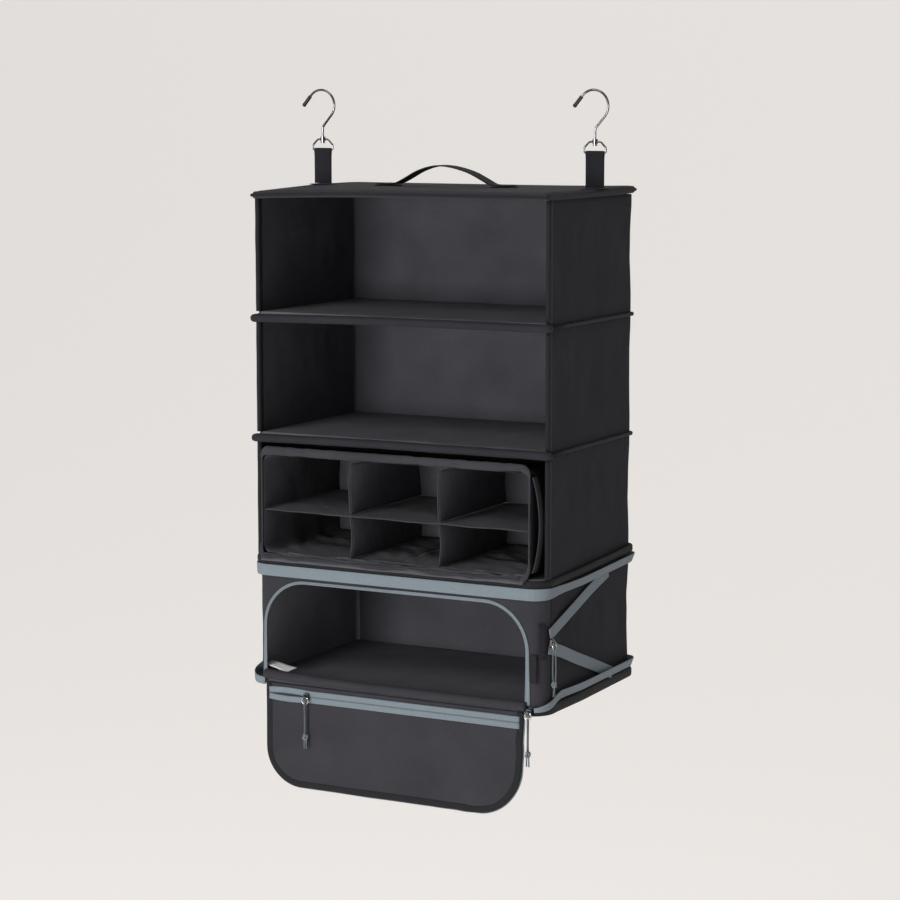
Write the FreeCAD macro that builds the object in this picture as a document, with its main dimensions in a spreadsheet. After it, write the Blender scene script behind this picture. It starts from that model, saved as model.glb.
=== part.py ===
"""Hanging packing cube: four fabric tiers that fold together, with a slide-out bin and a zipped bottom tier.

Frame: X to the right, +Y to the back, +Z up, millimetres. The origin is on the hanging rail, halfway between
the two hooks, where the rail touches the inside of their crowns.
"""
import FreeCAD, Part
import math
import os
from FreeCAD import Placement, Rotation, Vector

doc = FreeCAD.newDocument("HangingPackingCube")

# ---------------------------------------------------------------- driving dimensions
DIMENSIONS = {
    # whole body
    "wall_side": 205,          # outer face of the side walls, from the middle plane
    "wall_back": 98,           # outer face of the back wall
    "wall_front": -147,        # front end of the side walls of the open tiers
    "panel_front": -161,       # outer face of the bottom tier's front panel
    "wall_thick": 2,
    "corner_round": 20,        # front corners of the bottom tier
    # heights of the upper faces
    "top_level": -121,
    "shelf_1_level": -277,
    "shelf_2_level": -431,
    "shelf_3_level": -589,
    "floor_level": -747,
    "cover_thick": 11,         # fabric-wrapped shelf over all
    "top_thick": 9,
    "board_thick": 4,
    # hooks, rings and straps
    "strap_side": 195.5,
    "strap_width": 25,
    "strap_thick": 2.4,
    "bar_level": -76,          # lower bar of the ring, inside the strap's fold
    "ring_wire": 2.4,
    "hook_wire": 3,
    "collar_level": -65,       # underside of the swivel collar
    # slide-out bin
    "bin_left": -197,
    "bin_right": 188,
    "bin_top": -456,
    "bin_bottom": -588.5,
    "bin_front": -159,
    "bin_back": 86,
    "bin_wall": 3,
    # doorway of the bottom tier and its flap
    "door_left": -186,
    "door_right": 182,
    "door_top": -621,
    "door_round": 58,
    "flap_face": -166,         # back face of the hanging flap
    "flap_thick": 3,
    "flap_hinge": -752,
    "flap_end": -886,
    "flap_round": 62,
    # zippers
    "tape_width": 15,
    "tape_thick": 1.5,
    "cord_size": 1.8,
}

sheet = doc.addObject("Spreadsheet::Sheet", "Sizes")
for row, (word, value) in enumerate(DIMENSIONS.items(), start=1):
    sheet.set(f"A{row}", word)
    sheet.set(f"B{row}", str(value))
    sheet.setAlias(f"B{row}", word)
doc.recompute()

GAP = 0.1                      # play between sewn layers that only touch
finished = {}                  # node name -> document object


def size(word):
    return float(sheet.get(word))


def keep(name, item):
    """Gives a finished sub-part its name."""
    item.Label = name
    finished[name] = item
    return item


# ---------------------------------------------------------------- primitives bound to the sheet
def box(name, low, high):
    """A box between two corners, each coordinate an expression on the sheet."""
    item = doc.addObject("Part::Box", name)
    for side, start, end in zip(("Length", "Width", "Height"), low, high):
        item.setExpression(side, f"({end}) - ({start})")
    for axis, start in zip("xyz", low):
        item.setExpression(f"Placement.Base.{axis}", str(start))
    return item


def cylinder(name, radius, length, start, direction):
    """A cylinder; radius and length are expressions and start is a list of three."""
    item = doc.addObject("Part::Cylinder", name)
    item.setExpression("Radius", str(radius))
    item.setExpression("Height", str(length))
    item.Placement = Placement(Vector(), Rotation(Vector(0, 0, 1), direction))
    for axis, value in zip("xyz", start):
        item.setExpression(f"Placement.Base.{axis}", str(value))
    return item


def cut(name, base, tool):
    item = doc.addObject("Part::Cut", name)
    item.Base = base
    item.Tool = tool
    return item


def fuse(name, *shapes):
    item = doc.addObject("Part::MultiFuse", name)
    item.Shapes = list(shapes)
    return item


def group(name, *shapes):
    item = doc.addObject("Part::Compound", name)
    item.Links = list(shapes)
    return item


# ---------------------------------------------------------------- outlines
def rounded_path(corners, closed):
    """Edges of a path through (x, y, radius) corners, each rounded by a tangent arc."""
    points = [Vector(x, y, 0) for x, y, _ in corners]
    count = len(points)
    pieces = []
    for index, (_, _, radius) in enumerate(corners):
        here = points[index]
        ends = not closed and index in (0, count - 1)
        if ends or radius == 0:
            pieces.append((here, None, here))
            continue
        before = (points[index - 1] - here).normalize()
        after = (points[(index + 1) % count] - here).normalize()
        half = before.getAngle(after) / 2
        reach = radius / math.tan(half)
        middle = here + (before + after).normalize() * (radius / math.sin(half) - radius)
        pieces.append((here + before * reach, middle, here + after * reach))
    edges = []
    for index, (start, middle, end) in enumerate(pieces):
        if middle:
            edges.append(Part.Arc(start, middle, end))
        if index + 1 == count and not closed:
            break
        following = pieces[(index + 1) % count][0]
        if (following - end).Length > 1e-6:
            edges.append(Part.LineSegment(end, following))
    return edges


def rectangle(left, right, low, high, radius=0, top_radius=None):
    """Rounded rectangle; top_radius is for the two corners on the high side."""
    upper = radius if top_radius is None else top_radius
    return [(left, low, radius), (right, low, radius), (right, high, upper), (left, high, upper)]


def sketch(body, plane, edges, offset=0):
    """A sketch on one of the body's own planes, moved along the plane's normal by an offset."""
    item = body.newObject("Sketcher::SketchObject", f"{body.Name}_sketch")
    origin_plane = next(face for face in body.Origin.OriginFeatures if face.Role == plane)
    item.AttachmentSupport = [(origin_plane, "")]
    item.MapMode = "FlatFace"
    item.AttachmentOffset = Placement(Vector(0, 0, offset), Rotation())
    item.addGeometry(edges, False)
    return item


def pad(body, profile, length):
    item = body.newObject("PartDesign::Pad", f"{body.Name}_pad")
    item.Profile = profile
    item.setExpression("Length", str(length))
    profile.Visibility = False
    return item


def plate(name, outline, holes, bottom, height):
    """A flat body cut to an outline in the XY plane; bottom and height are expressions."""
    body = doc.addObject("PartDesign::Body", name)
    edges = rounded_path(outline, True)
    for hole in holes:
        edges += rounded_path(hole, True)
    pad(body, sketch(body, "XY_Plane", edges), height)
    body.setExpression("Placement.Base.z", str(bottom))
    return body


def upright(name, outline, holes, back, thickness):
    """A flat body cut to an outline of (x, z) corners and standing across Y; its back face is at back.
    The XZ plane's normal is -Y, so the pad runs forwards from the back face."""
    body = doc.addObject("PartDesign::Body", name)
    edges = rounded_path(outline, True)
    for hole in holes:
        edges += rounded_path(hole, True)
    pad(body, sketch(body, "XZ_Plane", edges), thickness)
    body.setExpression("Placement.Base.y", str(back))
    return body


def round_edges(body, radius, wanted):
    """Rounds the edges of the body that wanted(edge) picks."""
    doc.recompute()
    base = body.Tip
    names = [f"Edge{number}" for number, edge in enumerate(base.Shape.Edges, start=1) if wanted(edge)]
    item = body.newObject("PartDesign::Fillet", f"{body.Name}_fillet")
    item.Base = (base, names)
    item.Radius = radius
    return item


# ---------------------------------------------------------------- shelves
SIDE = size("wall_side")
BACK = size("wall_back")
FRONT = size("panel_front")
INNER = SIDE - size("wall_thick")
NOSE_BACK = size("wall_front") - 0.3
ROUND = size("corner_round")


def board(name, level, drop, left, right, front, back):
    """Stiff board in the middle of a cover, drop below the cover's upper face."""
    low = f"Sizes.{level} - {drop} - Sizes.board_thick"
    high = f"Sizes.{level} - {drop}"
    return box(name, [left, front, low], [right, back, high])


def covered(name, outline, level, thick, drop, left, right, front):
    """Fabric cover with the board's pocket, which is open at the back for sliding the board in."""
    shell = plate(f"{name}_shell", outline, [], f"Sizes.{level} - Sizes.{thick}", f"Sizes.{thick}")
    low = f"Sizes.{level} - {drop} - Sizes.board_thick - {GAP}"
    high = f"Sizes.{level} - {drop} + {GAP}"
    pocket = box(f"{name}_pocket", [left, front, low], [right, "Sizes.wall_back + 20", high])
    return cut(f"{name}_cut", shell, pocket)


def shelf(number):
    """Board, cover and piping of an open shelf. The cover's front edge is wider than the walls."""
    level = f"shelf_{number}_level"
    reach = SIDE + 5
    inside = INNER - 0.2
    outline = [
        (-inside, BACK - 2.2, 1), (-inside, NOSE_BACK, 0), (-reach, NOSE_BACK, 6), (-reach, FRONT, 6.5),
        (reach, FRONT, 6.5), (reach, NOSE_BACK, 6), (inside, NOSE_BACK, 0), (inside, BACK - 2.2, 1),
    ]
    drop = 3.5
    keep(f"shelf_{number}_cover",
         covered(f"shelf_{number}", outline, level, "cover_thick", drop, -198.2, 198.2, FRONT + 6))
    keep(f"shelf_{number}_board",
         board(f"shelf_{number}_plate", level, drop, -198, 198, FRONT + 6.2, "Sizes.wall_back - 4"))
    keep(f"shelf_{number}_piping", piping(f"shelf_{number}_bead", level))


def piping(name, level):
    """Corded seam round the two sides and the back, outside the walls at half the shelf's thickness."""
    inner = SIDE + GAP
    outer = SIDE + 4
    start = size("wall_front")
    outline = [
        (-outer, start, 0), (-inner, start, 0), (-inner, BACK + GAP, 0), (inner, BACK + GAP, 0),
        (inner, start, 0), (outer, start, 0), (outer, BACK + 4, 8), (-outer, BACK + 4, 8),
    ]
    bead = plate(name, outline, [], f"Sizes.{level} - Sizes.cover_thick / 2 - 2.5", 5)

    def outside(edge):
        span = edge.BoundBox
        flat = span.ZLength < 1e-6
        beyond = max(abs(span.XMin), abs(span.XMax), span.YMax - BACK + SIDE) > outer - 0.01
        return flat and beyond and (span.YLength > 1 or span.XLength > 20)

    round_edges(bead, 2.2, outside)
    return bead


def ring_band(name, spread, thick, bottom, height, softened):
    """A band all round the bottom tier, lying on the walls."""
    inner = rectangle(-SIDE - spread, SIDE + spread, FRONT - spread, BACK + spread, ROUND + spread, 0)
    wide = spread + thick
    outer = rectangle(-SIDE - wide, SIDE + wide, FRONT - wide, BACK + wide, ROUND + wide, 3)
    band = plate(name, outer, [inner], bottom, height)
    if softened:
        limit = SIDE + wide - 0.01

        def outside(edge):
            span = edge.BoundBox
            return span.ZLength < 1e-6 and (
                max(abs(span.XMin), abs(span.XMax)) > limit
                or span.YMin < FRONT - wide + 0.01
                or span.YMax > BACK + wide - 0.01
            )

        round_edges(band, softened, outside)
    return band


# top panel, the root of the assembly
top_outline = rectangle(-208, 208, FRONT, BACK + 2, 7)
keep("top_cover", covered("top", top_outline, "top_level", "top_thick", 2.5, -202.2, 202.2, FRONT + 6))
keep("top_board", board("top_plate", "top_level", 2.5, -202, 202, FRONT + 6.2, "Sizes.wall_back"))
rim_inner = rectangle(-208 - GAP, 208 + GAP, FRONT - GAP, BACK + 2 + GAP, 7 + GAP)
rim_outer = rectangle(-211, 211, FRONT - 3, BACK + 5, 9)
keep("top_piping", plate("top_rim", rim_outer, [rim_inner], "Sizes.top_level - 6.5", 4))

for shelf_number in (1, 2):
    shelf(shelf_number)

# lowest shelf and the base: inside the bottom tier's walls, with a binding round the outside
tier_inside = rectangle(-INNER + 0.2, INNER - 0.2, FRONT + 2.2, BACK - 2.2, ROUND - 2, 1)
for label, level_word in (("shelf_3", "shelf_3_level"), ("base", "floor_level")):
    keep(f"{label}_cover", covered(label, tier_inside, level_word, "cover_thick", 3.5, -184, 184, FRONT + 8))
    keep(f"{label}_board", board(f"{label}_plate", level_word, 3.5, -183.8, 183.8, FRONT + 8.2, BACK - 4))
keep("shelf_3_binding", ring_band("shelf_3_band", GAP, 3, "Sizes.shelf_3_level - 10", 9, 1.2))
keep("base_binding", ring_band("base_band", GAP, 3, "Sizes.floor_level - 11", 12, 1.2))


# ---------------------------------------------------------------- walls
def mid(number):
    """Height of the seam at a shelf, as an expression."""
    return f"Sizes.shelf_{number}_level - Sizes.cover_thick / 2"


def walls(tier, low, high, front):
    """Two side walls and a back wall between two seams."""
    inner = "Sizes.wall_side - Sizes.wall_thick"
    rear = "Sizes.wall_back - Sizes.wall_thick"
    left = box(f"tier_{tier}_left", ["-Sizes.wall_side", front, low], [f"-({inner})", rear, high])
    right = box(f"tier_{tier}_right", [inner, front, low], ["Sizes.wall_side", rear, high])
    keep(f"tier_{tier}_side_walls", group(f"tier_{tier}_sides", left, right))
    back = box(f"tier_{tier}_rear", ["-Sizes.wall_side", rear, low], ["Sizes.wall_side", "Sizes.wall_back", high])
    keep(f"tier_{tier}_back_wall", back)


def edge_bindings(tier, low, high):
    """Folded tape round the front edges of the two side walls."""
    strips = []
    for side, sign in (("left", -1), ("right", 1)):
        ends = sorted((sign * (SIDE - 4.5), sign * (SIDE + 2.5)))
        slot = sorted((sign * (INNER - GAP), sign * (SIDE + GAP)))
        strip = box(f"tier_{tier}_{side}_fold", [ends[0], "Sizes.wall_front - 6", low],
                    [ends[1], "Sizes.wall_front + 5", high])
        groove = box(f"tier_{tier}_{side}_groove", [slot[0], f"Sizes.wall_front - {GAP}", f"{low} - 1"],
                     [slot[1], "Sizes.wall_front + 6", f"{high} + 1"])
        strips.append(cut(f"tier_{tier}_{side}_strip", strip, groove))
    keep(f"tier_{tier}_edge_bindings", group(f"tier_{tier}_folds", *strips))


walls(1, mid(1), "Sizes.top_level - Sizes.top_thick", "Sizes.wall_front")
walls(2, mid(2), mid(1), "Sizes.wall_front")
walls(3, "Sizes.shelf_3_level - 0.9", mid(2), "Sizes.wall_front")
edge_bindings(1, f"Sizes.shelf_1_level + {GAP}", f"Sizes.top_level - Sizes.top_thick - {GAP}")
edge_bindings(2, f"Sizes.shelf_2_level + {GAP}", f"Sizes.shelf_1_level - Sizes.cover_thick - {GAP}")
edge_bindings(3, f"Sizes.shelf_3_level + {GAP + 0.5}", f"Sizes.shelf_2_level - Sizes.cover_thick - {GAP}")

base_seam = "Sizes.floor_level - Sizes.cover_thick"
walls(4, base_seam, mid(3), f"Sizes.panel_front + Sizes.corner_round + {GAP}")

# front panel of the bottom tier: two pillars with rounded outer corners and a lintel round the doorway
pillar_top = size("shelf_3_level") - size("cover_thick") / 2
panel_height = pillar_top - (size("floor_level") - size("cover_thick"))
panel_outline = [
    (-SIDE, FRONT + ROUND, 0), (-SIDE, FRONT, ROUND), (SIDE, FRONT, ROUND), (SIDE, FRONT + ROUND, 0),
    (INNER, FRONT + ROUND, 0), (INNER, FRONT + 2, ROUND - 2), (-INNER, FRONT + 2, ROUND - 2),
    (-INNER, FRONT + ROUND, 0),
]
panel = plate("front_blank", panel_outline, [], base_seam, panel_height)
doorway_outline = rectangle(size("door_left"), size("door_right"), size("floor_level"), size("door_top"),
                            0, size("door_round"))
doorway = upright("doorway", doorway_outline, [], FRONT + 12, 30)
keep("front_panel", cut("front_cut", panel, doorway))


# ---------------------------------------------------------------- zipper tapes
def side_tail(name, outline):
    """A tape lying on the right wall, cut to (y, z) corners."""
    body = doc.addObject("PartDesign::Body", name)
    pad(body, sketch(body, "YZ_Plane", rounded_path(outline, True), SIDE + GAP), "Sizes.tape_thick")
    return body


TAPE = size("tape_width")
upper_top = size("shelf_3_level") - 10.4
upper_low = upper_top - TAPE
lower_low = size("floor_level") + 1.4
lower_top = lower_low + TAPE
apex_y = FRONT + 17
apex_z = -668

upper_band = ring_band("upper_band", GAP, size("tape_thick"), f"{upper_low}", "Sizes.tape_width", 0)
upper_tail = side_tail("upper_tail", [
    (18, upper_top - 2, 0), (apex_y - 5, apex_z + 22, 0), (apex_y - 5, apex_z + 3, 4),
    (apex_y + 11, apex_z + 6, 4), (-10, upper_low + 4, 0),
])
keep("upper_zipper_tape", fuse("upper_tape", upper_band, upper_tail))

# the lower tape ends at the doorway's corners, because the flap hangs from the front of the base
lower_band = ring_band("lower_band", GAP, size("tape_thick"), f"{lower_low}", "Sizes.tape_width", 0)
lower_tail = side_tail("lower_tail", [
    (apex_y + 6, apex_z - 1, 3), (34, lower_top - 6, 0), (8, lower_low + 4, 0), (-20, lower_low + 4, 0),
    (apex_y - 5, apex_z - 17, 3), (apex_y - 5, apex_z - 6, 0),
])
front_gap = box("lower_front", [-SIDE + 13, FRONT - 10, f"{lower_low} - 1"],
                [SIDE - 13, FRONT + 10, f"{lower_top} + 1"])
keep("lower_zipper_tape", fuse("lower_tape", cut("lower_open", lower_band, front_gap), lower_tail))

# thin zipper along the sides and top of the doorway
door_floor = size("floor_level") + 2
wide_door = [
    (size("door_left") - 5, door_floor, 0), (size("door_left"), door_floor, 0),
    (size("door_left"), size("door_top"), size("door_round")),
    (size("door_right"), size("door_top"), size("door_round")), (size("door_right"), door_floor, 0),
    (size("door_right") + 5, door_floor, 0),
    (size("door_right") + 5, size("door_top") + 5, size("door_round") + 5),
    (size("door_left") - 5, size("door_top") + 5, size("door_round") + 5),
]
keep("front_zipper_tape", upright("front_tape", wide_door, [], f"Sizes.panel_front - {GAP}", 1.4))

# ---------------------------------------------------------------- flap
hinge = size("flap_hinge")
flap_outer = rectangle(size("door_left"), size("door_right"), size("flap_end"), hinge, size("flap_round"), 0)
binding_width = 4
flap_inner = rectangle(size("door_left") + binding_width, size("door_right") - binding_width,
                       size("flap_end") + binding_width, hinge, size("flap_round") - binding_width, 0)
keep("flap_panel", upright("flap_cloth", flap_inner, [], "Sizes.flap_face", "Sizes.flap_thick"))


def flap_edge(name, inside, outside, back, thickness):
    """A strip round the left, lower and right edges of the flap, from one inset to another."""
    left = size("door_left")
    right = size("door_right")
    end = size("flap_end")
    turn = size("flap_round")
    outline = [
        (left - outside, hinge, 0), (left - outside, end - outside, turn + outside),
        (right + outside, end - outside, turn + outside), (right + outside, hinge, 0),
        (right - inside, hinge, 0), (right - inside, end + inside, turn - inside),
        (left + inside, end + inside, turn - inside), (left + inside, hinge, 0),
    ]
    return upright(name, outline, [], back, thickness)


keep("flap_binding", flap_edge("flap_trim", binding_width - 0.05, 0, "Sizes.flap_face + 0.5", 4))
keep("flap_zipper_tape", flap_edge("flap_tape", 8, 1, "Sizes.flap_face + 1.6", 1))

pocket_top = hinge - 5
pocket_outline = rectangle(-181, 177, pocket_top - 17, pocket_top, 1)
keep("pocket_zipper_tapes",
     upright("pocket_tape", pocket_outline, [], f"Sizes.flap_face - Sizes.flap_thick - {GAP + 0.5}", 1))

# ---------------------------------------------------------------- slide-out bin
clear = "Sizes.bin_wall"
bin_outer = box("bin_block", ["Sizes.bin_left", "Sizes.bin_front", "Sizes.bin_bottom"],
                ["Sizes.bin_right", "Sizes.bin_back", "Sizes.bin_top"])
bin_hollow = box("bin_hollow",
                 [f"Sizes.bin_left + {clear}", "Sizes.bin_front - 5", f"Sizes.bin_bottom + {clear}"],
                 [f"Sizes.bin_right - {clear}", f"Sizes.bin_back - {clear}", f"Sizes.bin_top - {clear}"])
keep("bin_shell", cut("bin_cut", bin_outer, bin_hollow))

BIN_SHELF = -530
BIN_PLAY = 0.15
inner_left = size("bin_left") + size("bin_wall") + BIN_PLAY
inner_right = size("bin_right") - size("bin_wall") - BIN_PLAY
inner_low = size("bin_bottom") + size("bin_wall") + BIN_PLAY
inner_high = size("bin_top") - size("bin_wall") - BIN_PLAY
divider_front = "Sizes.bin_front + 3"
divider_back = f"Sizes.bin_back - {clear} - {BIN_PLAY}"
bin_floor = box("bin_floor", [inner_left, divider_front, BIN_SHELF - 1], [inner_right, divider_back, BIN_SHELF + 1])
keep("bin_shelf", bin_floor)
dividers = []
for third in (1, 2):
    middle = inner_left + (inner_right - inner_left) * third / 3
    for low, high in ((inner_low, BIN_SHELF - 1 - BIN_PLAY), (BIN_SHELF + 1 + BIN_PLAY, inner_high)):
        dividers.append(box("bin_divider", [middle - 1, divider_front, low], [middle + 1, divider_back, high]))
keep("bin_dividers", group("bin_partitions", *dividers))
mouth = rectangle(size("bin_left") - 1.5, size("bin_right") + 1.5,
                  size("bin_bottom") - 0.3, size("bin_top") + 1.5, 12)
mouth_hole = rectangle(size("bin_left") + 4.5, size("bin_right") - 4.5,
                       size("bin_bottom") + 5.7, size("bin_top") - 4.5, 7)
keep("bin_rim", upright("bin_mouth", mouth, [mouth_hole], f"Sizes.bin_front - {GAP}", 5))

# ---------------------------------------------------------------- sewn labels and grip tab
floor_label = box("floor_label", [-188, FRONT + 6, "Sizes.floor_level + 0.1"],
                  [-146, FRONT + 28, "Sizes.floor_level + 0.9"])
edge_label = box("edge_label", [187.6, "Sizes.panel_front - 1.7", -716],
                 [196.6, "Sizes.panel_front - 0.9", -681])
keep("sewn_labels", group("labels", floor_label, edge_label))
tab = box("tab", [0, 0, 0], [9, 2.5, 46])
tab_turn = Rotation(Vector(0, 0, 1), 45)
tab_spot = Vector(SIDE - ROUND, FRONT + ROUND, -688) + tab_turn.multVec(Vector(-4.5, -ROUND - 3.2, 0))
tab.Placement = Placement(tab_spot, tab_turn)
for axis in "xyz":
    tab.setExpression(f"Placement.Base.{axis}", None)
keep("grip_tab", tab)

# ---------------------------------------------------------------- handle
TOP = size("top_level")
HANDLE_MIDDLE = -14
HANDLE_REACH = 95
patch_low = f"Sizes.top_level + {GAP}"
patch_high = f"Sizes.top_level + {GAP + 1}"
patches = []
for sign in (-1, 1):
    near, far = sorted((HANDLE_MIDDLE + sign * 70, HANDLE_MIDDLE + sign * (HANDLE_REACH + 3)))
    patches.append(box("handle_patch", [near, -13.5, patch_low], [far, 13.5, patch_high]))
    middle = sign * size("strap_side")
    patches.append(box("strap_patch", [middle - 12.4, -16, patch_low], [middle + 12.4, 16, patch_high]))
keep("sewn_patches", group("patches", *patches))


def ribbon(route, thickness):
    """Closed outline of a strip that follows a route of (x, z, radius) corners."""
    wire = Part.Wire([edge.toShape() for edge in rounded_path(route, False)])
    outlines = []
    for shift in (thickness / 2, -thickness / 2):
        edges = []
        for edge in wire.Edges:
            first, last = edge.ParameterRange
            ends = []
            for parameter in (first, (first + last) / 2, last):
                point = edge.valueAt(parameter)
                along = edge.tangentAt(parameter)
                if edge.Orientation == "Reversed":
                    along = along * -1
                ends.append(point + Vector(-along.y, along.x, 0) * shift)
            if edge.Orientation == "Reversed":
                ends.reverse()
            if isinstance(edge.Curve, Part.Line):
                edges.append(Part.LineSegment(ends[0], ends[2]))
            else:
                edges.append(Part.Arc(ends[0], ends[1], ends[2]))
        outlines.append((ends_of(edges), edges))
    (start_a, end_a), side_a = outlines[0]
    (start_b, end_b), side_b = outlines[1]
    return side_a + side_b + [Part.LineSegment(start_a, start_b), Part.LineSegment(end_a, end_b)]


def ends_of(edges):
    return edges[0].StartPoint, edges[-1].EndPoint


handle_low = TOP + GAP + 1 + GAP + 1
handle_route = [(HANDLE_MIDDLE + along, handle_low + rise, radius) for along, rise, radius in (
    (-HANDLE_REACH, 0, 0), (-72, 0, 25), (0, 30, 68), (72, 0, 25), (HANDLE_REACH, 0, 0))]
handle_body = doc.addObject("PartDesign::Body", "handle_web")
pad(handle_body, sketch(handle_body, "XZ_Plane", ribbon(handle_route, 2), -12.5), "Sizes.strap_width")
keep("carry_handle", handle_body)


# ---------------------------------------------------------------- straps, rings and hooks
def pipe(name, route, radius, start_plane, centre, offset):
    """Round wire along a route of (x, z, radius) corners in the XZ plane.
    The section is drawn on start_plane at centre, offset along that plane's normal."""
    body = doc.addObject("PartDesign::Body", name)
    spine = sketch(body, "XZ_Plane", rounded_path(route, False))
    circle = Part.Circle(Vector(centre[0], centre[1], 0), Vector(0, 0, 1), radius)
    section = sketch(body, start_plane, [circle], offset)
    item = body.newObject("PartDesign::AdditivePipe", f"{name}_wire")
    item.Profile = section
    item.Spine = (spine, [])
    return body


strap_foot = TOP + GAP + 1 + 0.3 + size("strap_thick") / 2
bar_level = size("bar_level")
collar_low = size("collar_level")
collar_high = collar_low + 6
wire = size("ring_wire") / 2
shank = size("hook_wire") / 2
CROWN_RADIUS = 18.4 + shank
CROWN_X = -2.4
crown_z = shank - CROWN_RADIUS

for side, sign in (("left", -1), ("right", 1)):
    middle = sign * size("strap_side")
    half_width = size("strap_width") / 2
    loop_outer = wire + 0.15 + size("strap_thick") / 2
    # webbing folded round the ring's lower bar and sewn to itself
    sheet_low = box(f"{side}_web", [middle - half_width, "-Sizes.strap_thick / 2", strap_foot],
                    [middle + half_width, "Sizes.strap_thick / 2", "Sizes.bar_level"])
    foot = cylinder(f"{side}_foot", "Sizes.strap_thick / 2", "Sizes.strap_width",
                    [middle - half_width, 0, strap_foot], Vector(1, 0, 0))
    fold = cylinder(f"{side}_fold", loop_outer, "Sizes.strap_width",
                    [middle - half_width, 0, "Sizes.bar_level"], Vector(1, 0, 0))
    bore = cylinder(f"{side}_bore", wire + 0.08, "Sizes.strap_width + 2",
                    [middle - half_width - 1, 0, "Sizes.bar_level"], Vector(1, 0, 0))
    keep(f"{side}_strap", cut(f"{side}_strap_cut", fuse(f"{side}_strap_web", sheet_low, foot, fold), bore))

    # wire ring with the swivel collar at its top
    reach = half_width + 1 + wire
    route = [(0, bar_level, 0), (reach, bar_level, 2.2), (reach, bar_level + 6.5, 4),
             (8, collar_low + 2.2, 3), (2.2, collar_low + 3, 0)]
    halves = []
    for turn in (-1, 1):
        half_route = [(turn * x, z, radius) for x, z, radius in route]
        half = pipe(f"{side}_ring_{'ab'[turn > 0]}", half_route, wire, "YZ_Plane", (0, bar_level), 0)
        half.Placement.Base = Vector(middle, 0, 0)
        halves.append(half)
    collar = cylinder(f"{side}_collar", "Sizes.hook_wire / 2 + 1.9", 6, [middle, 0, collar_low], Vector(0, 0, 1))
    collar_bore = cylinder(f"{side}_collar_bore", "Sizes.hook_wire / 2 + 0.1", 12,
                           [middle, 0, collar_low - 3], Vector(0, 0, 1))
    keep(f"{side}_ring", cut(f"{side}_ring_cut", fuse(f"{side}_ring_wire", *halves, collar), collar_bore))

    # hook: shank through the collar with a head under it, a slanting neck, and the open crown
    lean = math.radians(40.5)
    crown_end = Vector(CROWN_X + CROWN_RADIUS * math.cos(lean), crown_z - CROWN_RADIUS * math.sin(lean))
    bend_z = crown_end.y - crown_end.x / math.tan(lean)
    head_low = collar_low - 2.4
    neck = 8 * math.tan(lean / 2)
    down = Vector(-math.sin(lean), -math.cos(lean))
    bend = Vector(0, bend_z)
    opening = math.radians(140)
    crown_start = Vector(CROWN_X + CROWN_RADIUS * math.cos(opening),
                         crown_z + CROWN_RADIUS * math.sin(opening))
    out = Vector(-math.sin(opening), math.cos(opening))
    tip = crown_start + out * 15
    bow = Vector(8 - 8 * math.cos(lean / 2), bend_z - neck + 8 * math.sin(lean / 2))
    hook_body = doc.addObject("PartDesign::Body", f"{side}_hook_wire")
    spine = sketch(hook_body, "XZ_Plane", [
        Part.LineSegment(Vector(0, head_low), bend - Vector(0, neck)),
        Part.Arc(bend - Vector(0, neck), bow, bend - down * neck),
        Part.LineSegment(bend - down * neck, crown_end),
        Part.Arc(crown_end, Vector(CROWN_X, shank), crown_start),
        Part.LineSegment(crown_start, tip),
    ])
    section = sketch(hook_body, "XY_Plane", [Part.Circle(Vector(), Vector(0, 0, 1), shank)], head_low)
    swept = hook_body.newObject("PartDesign::AdditivePipe", f"{side}_hook_pipe")
    swept.Profile = section
    swept.Spine = (spine, [])
    hook_body.Placement.Base = Vector(middle, 0, 0)
    head = cylinder(f"{side}_head", "Sizes.hook_wire / 2 + 1.3", 2, [middle, 0, head_low], Vector(0, 0, 1))
    keep(f"{side}_hook", fuse(f"{side}_hook_all", hook_body, head))

    # rubber tip pushed over the end of the wire
    along = Vector(out.x, 0, out.y)
    end = Vector(middle + tip.x, 0, tip.y)
    sleeve = cylinder(f"{side}_sleeve", "Sizes.hook_wire / 2 + 0.9", 16, end - along * 13.5, along)
    knob = doc.addObject("Part::Sphere", f"{side}_knob")
    knob.setExpression("Radius", "Sizes.hook_wire / 2 + 1.2")
    knob.Placement.Base = end + along * 0.8
    sleeve_bore = cylinder(f"{side}_sleeve_bore", "Sizes.hook_wire / 2 + 0.05", 13.6, end - along * 13.55, along)
    keep(f"{side}_hook_tip", cut(f"{side}_tip_cut", fuse(f"{side}_tip_all", sleeve, knob), sleeve_bore))


# ---------------------------------------------------------------- sliders with their pulls
def slider_set(name, spot, turn):
    """Zipper slider, wire ring and doubled cord. In its own frame the slider stands on the plane Y = 0,
    faces -Y, and the ring hangs from the eye at EYE; spot and turn put the set on its zipper."""
    place = Placement(spot, turn)
    eye_y = -5.2
    eye_z = 1
    plinth = Part.makeBox(7, 3.6, 11, Vector(-3.5, -3.8, -5.5))
    upright_edges = [edge for edge in plinth.Edges if edge.BoundBox.YLength > 3]
    body = plinth.makeFillet(2.2, upright_edges)
    lug = Part.makeCylinder(2.3, 3, Vector(-1.5, eye_y, eye_z), Vector(1, 0, 0))
    stem = Part.makeBox(3, 2.5, 3, Vector(-1.5, -5.5, eye_z - 1.5))
    hole = Part.makeCylinder(1.15, 5, Vector(-2.5, eye_y, eye_z), Vector(1, 0, 0))
    slider = body.fuse([lug, stem]).cut(hole).removeSplitter()
    ring_radius = 4.6
    ring = Part.makeTorus(ring_radius, 0.6, Vector(0, eye_y, eye_z - ring_radius), Vector(0, 1, 0))
    cord = pull_cord(eye_y, eye_z - 2 * ring_radius)
    for part, shape in (("slider", slider), ("pull_ring", ring), ("pull_cord", cord)):
        item = doc.addObject("Part::Feature", f"{name}_{part}")
        item.Shape = shape
        item.Placement = place
        keep(f"{name}_{part}", item)


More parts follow.
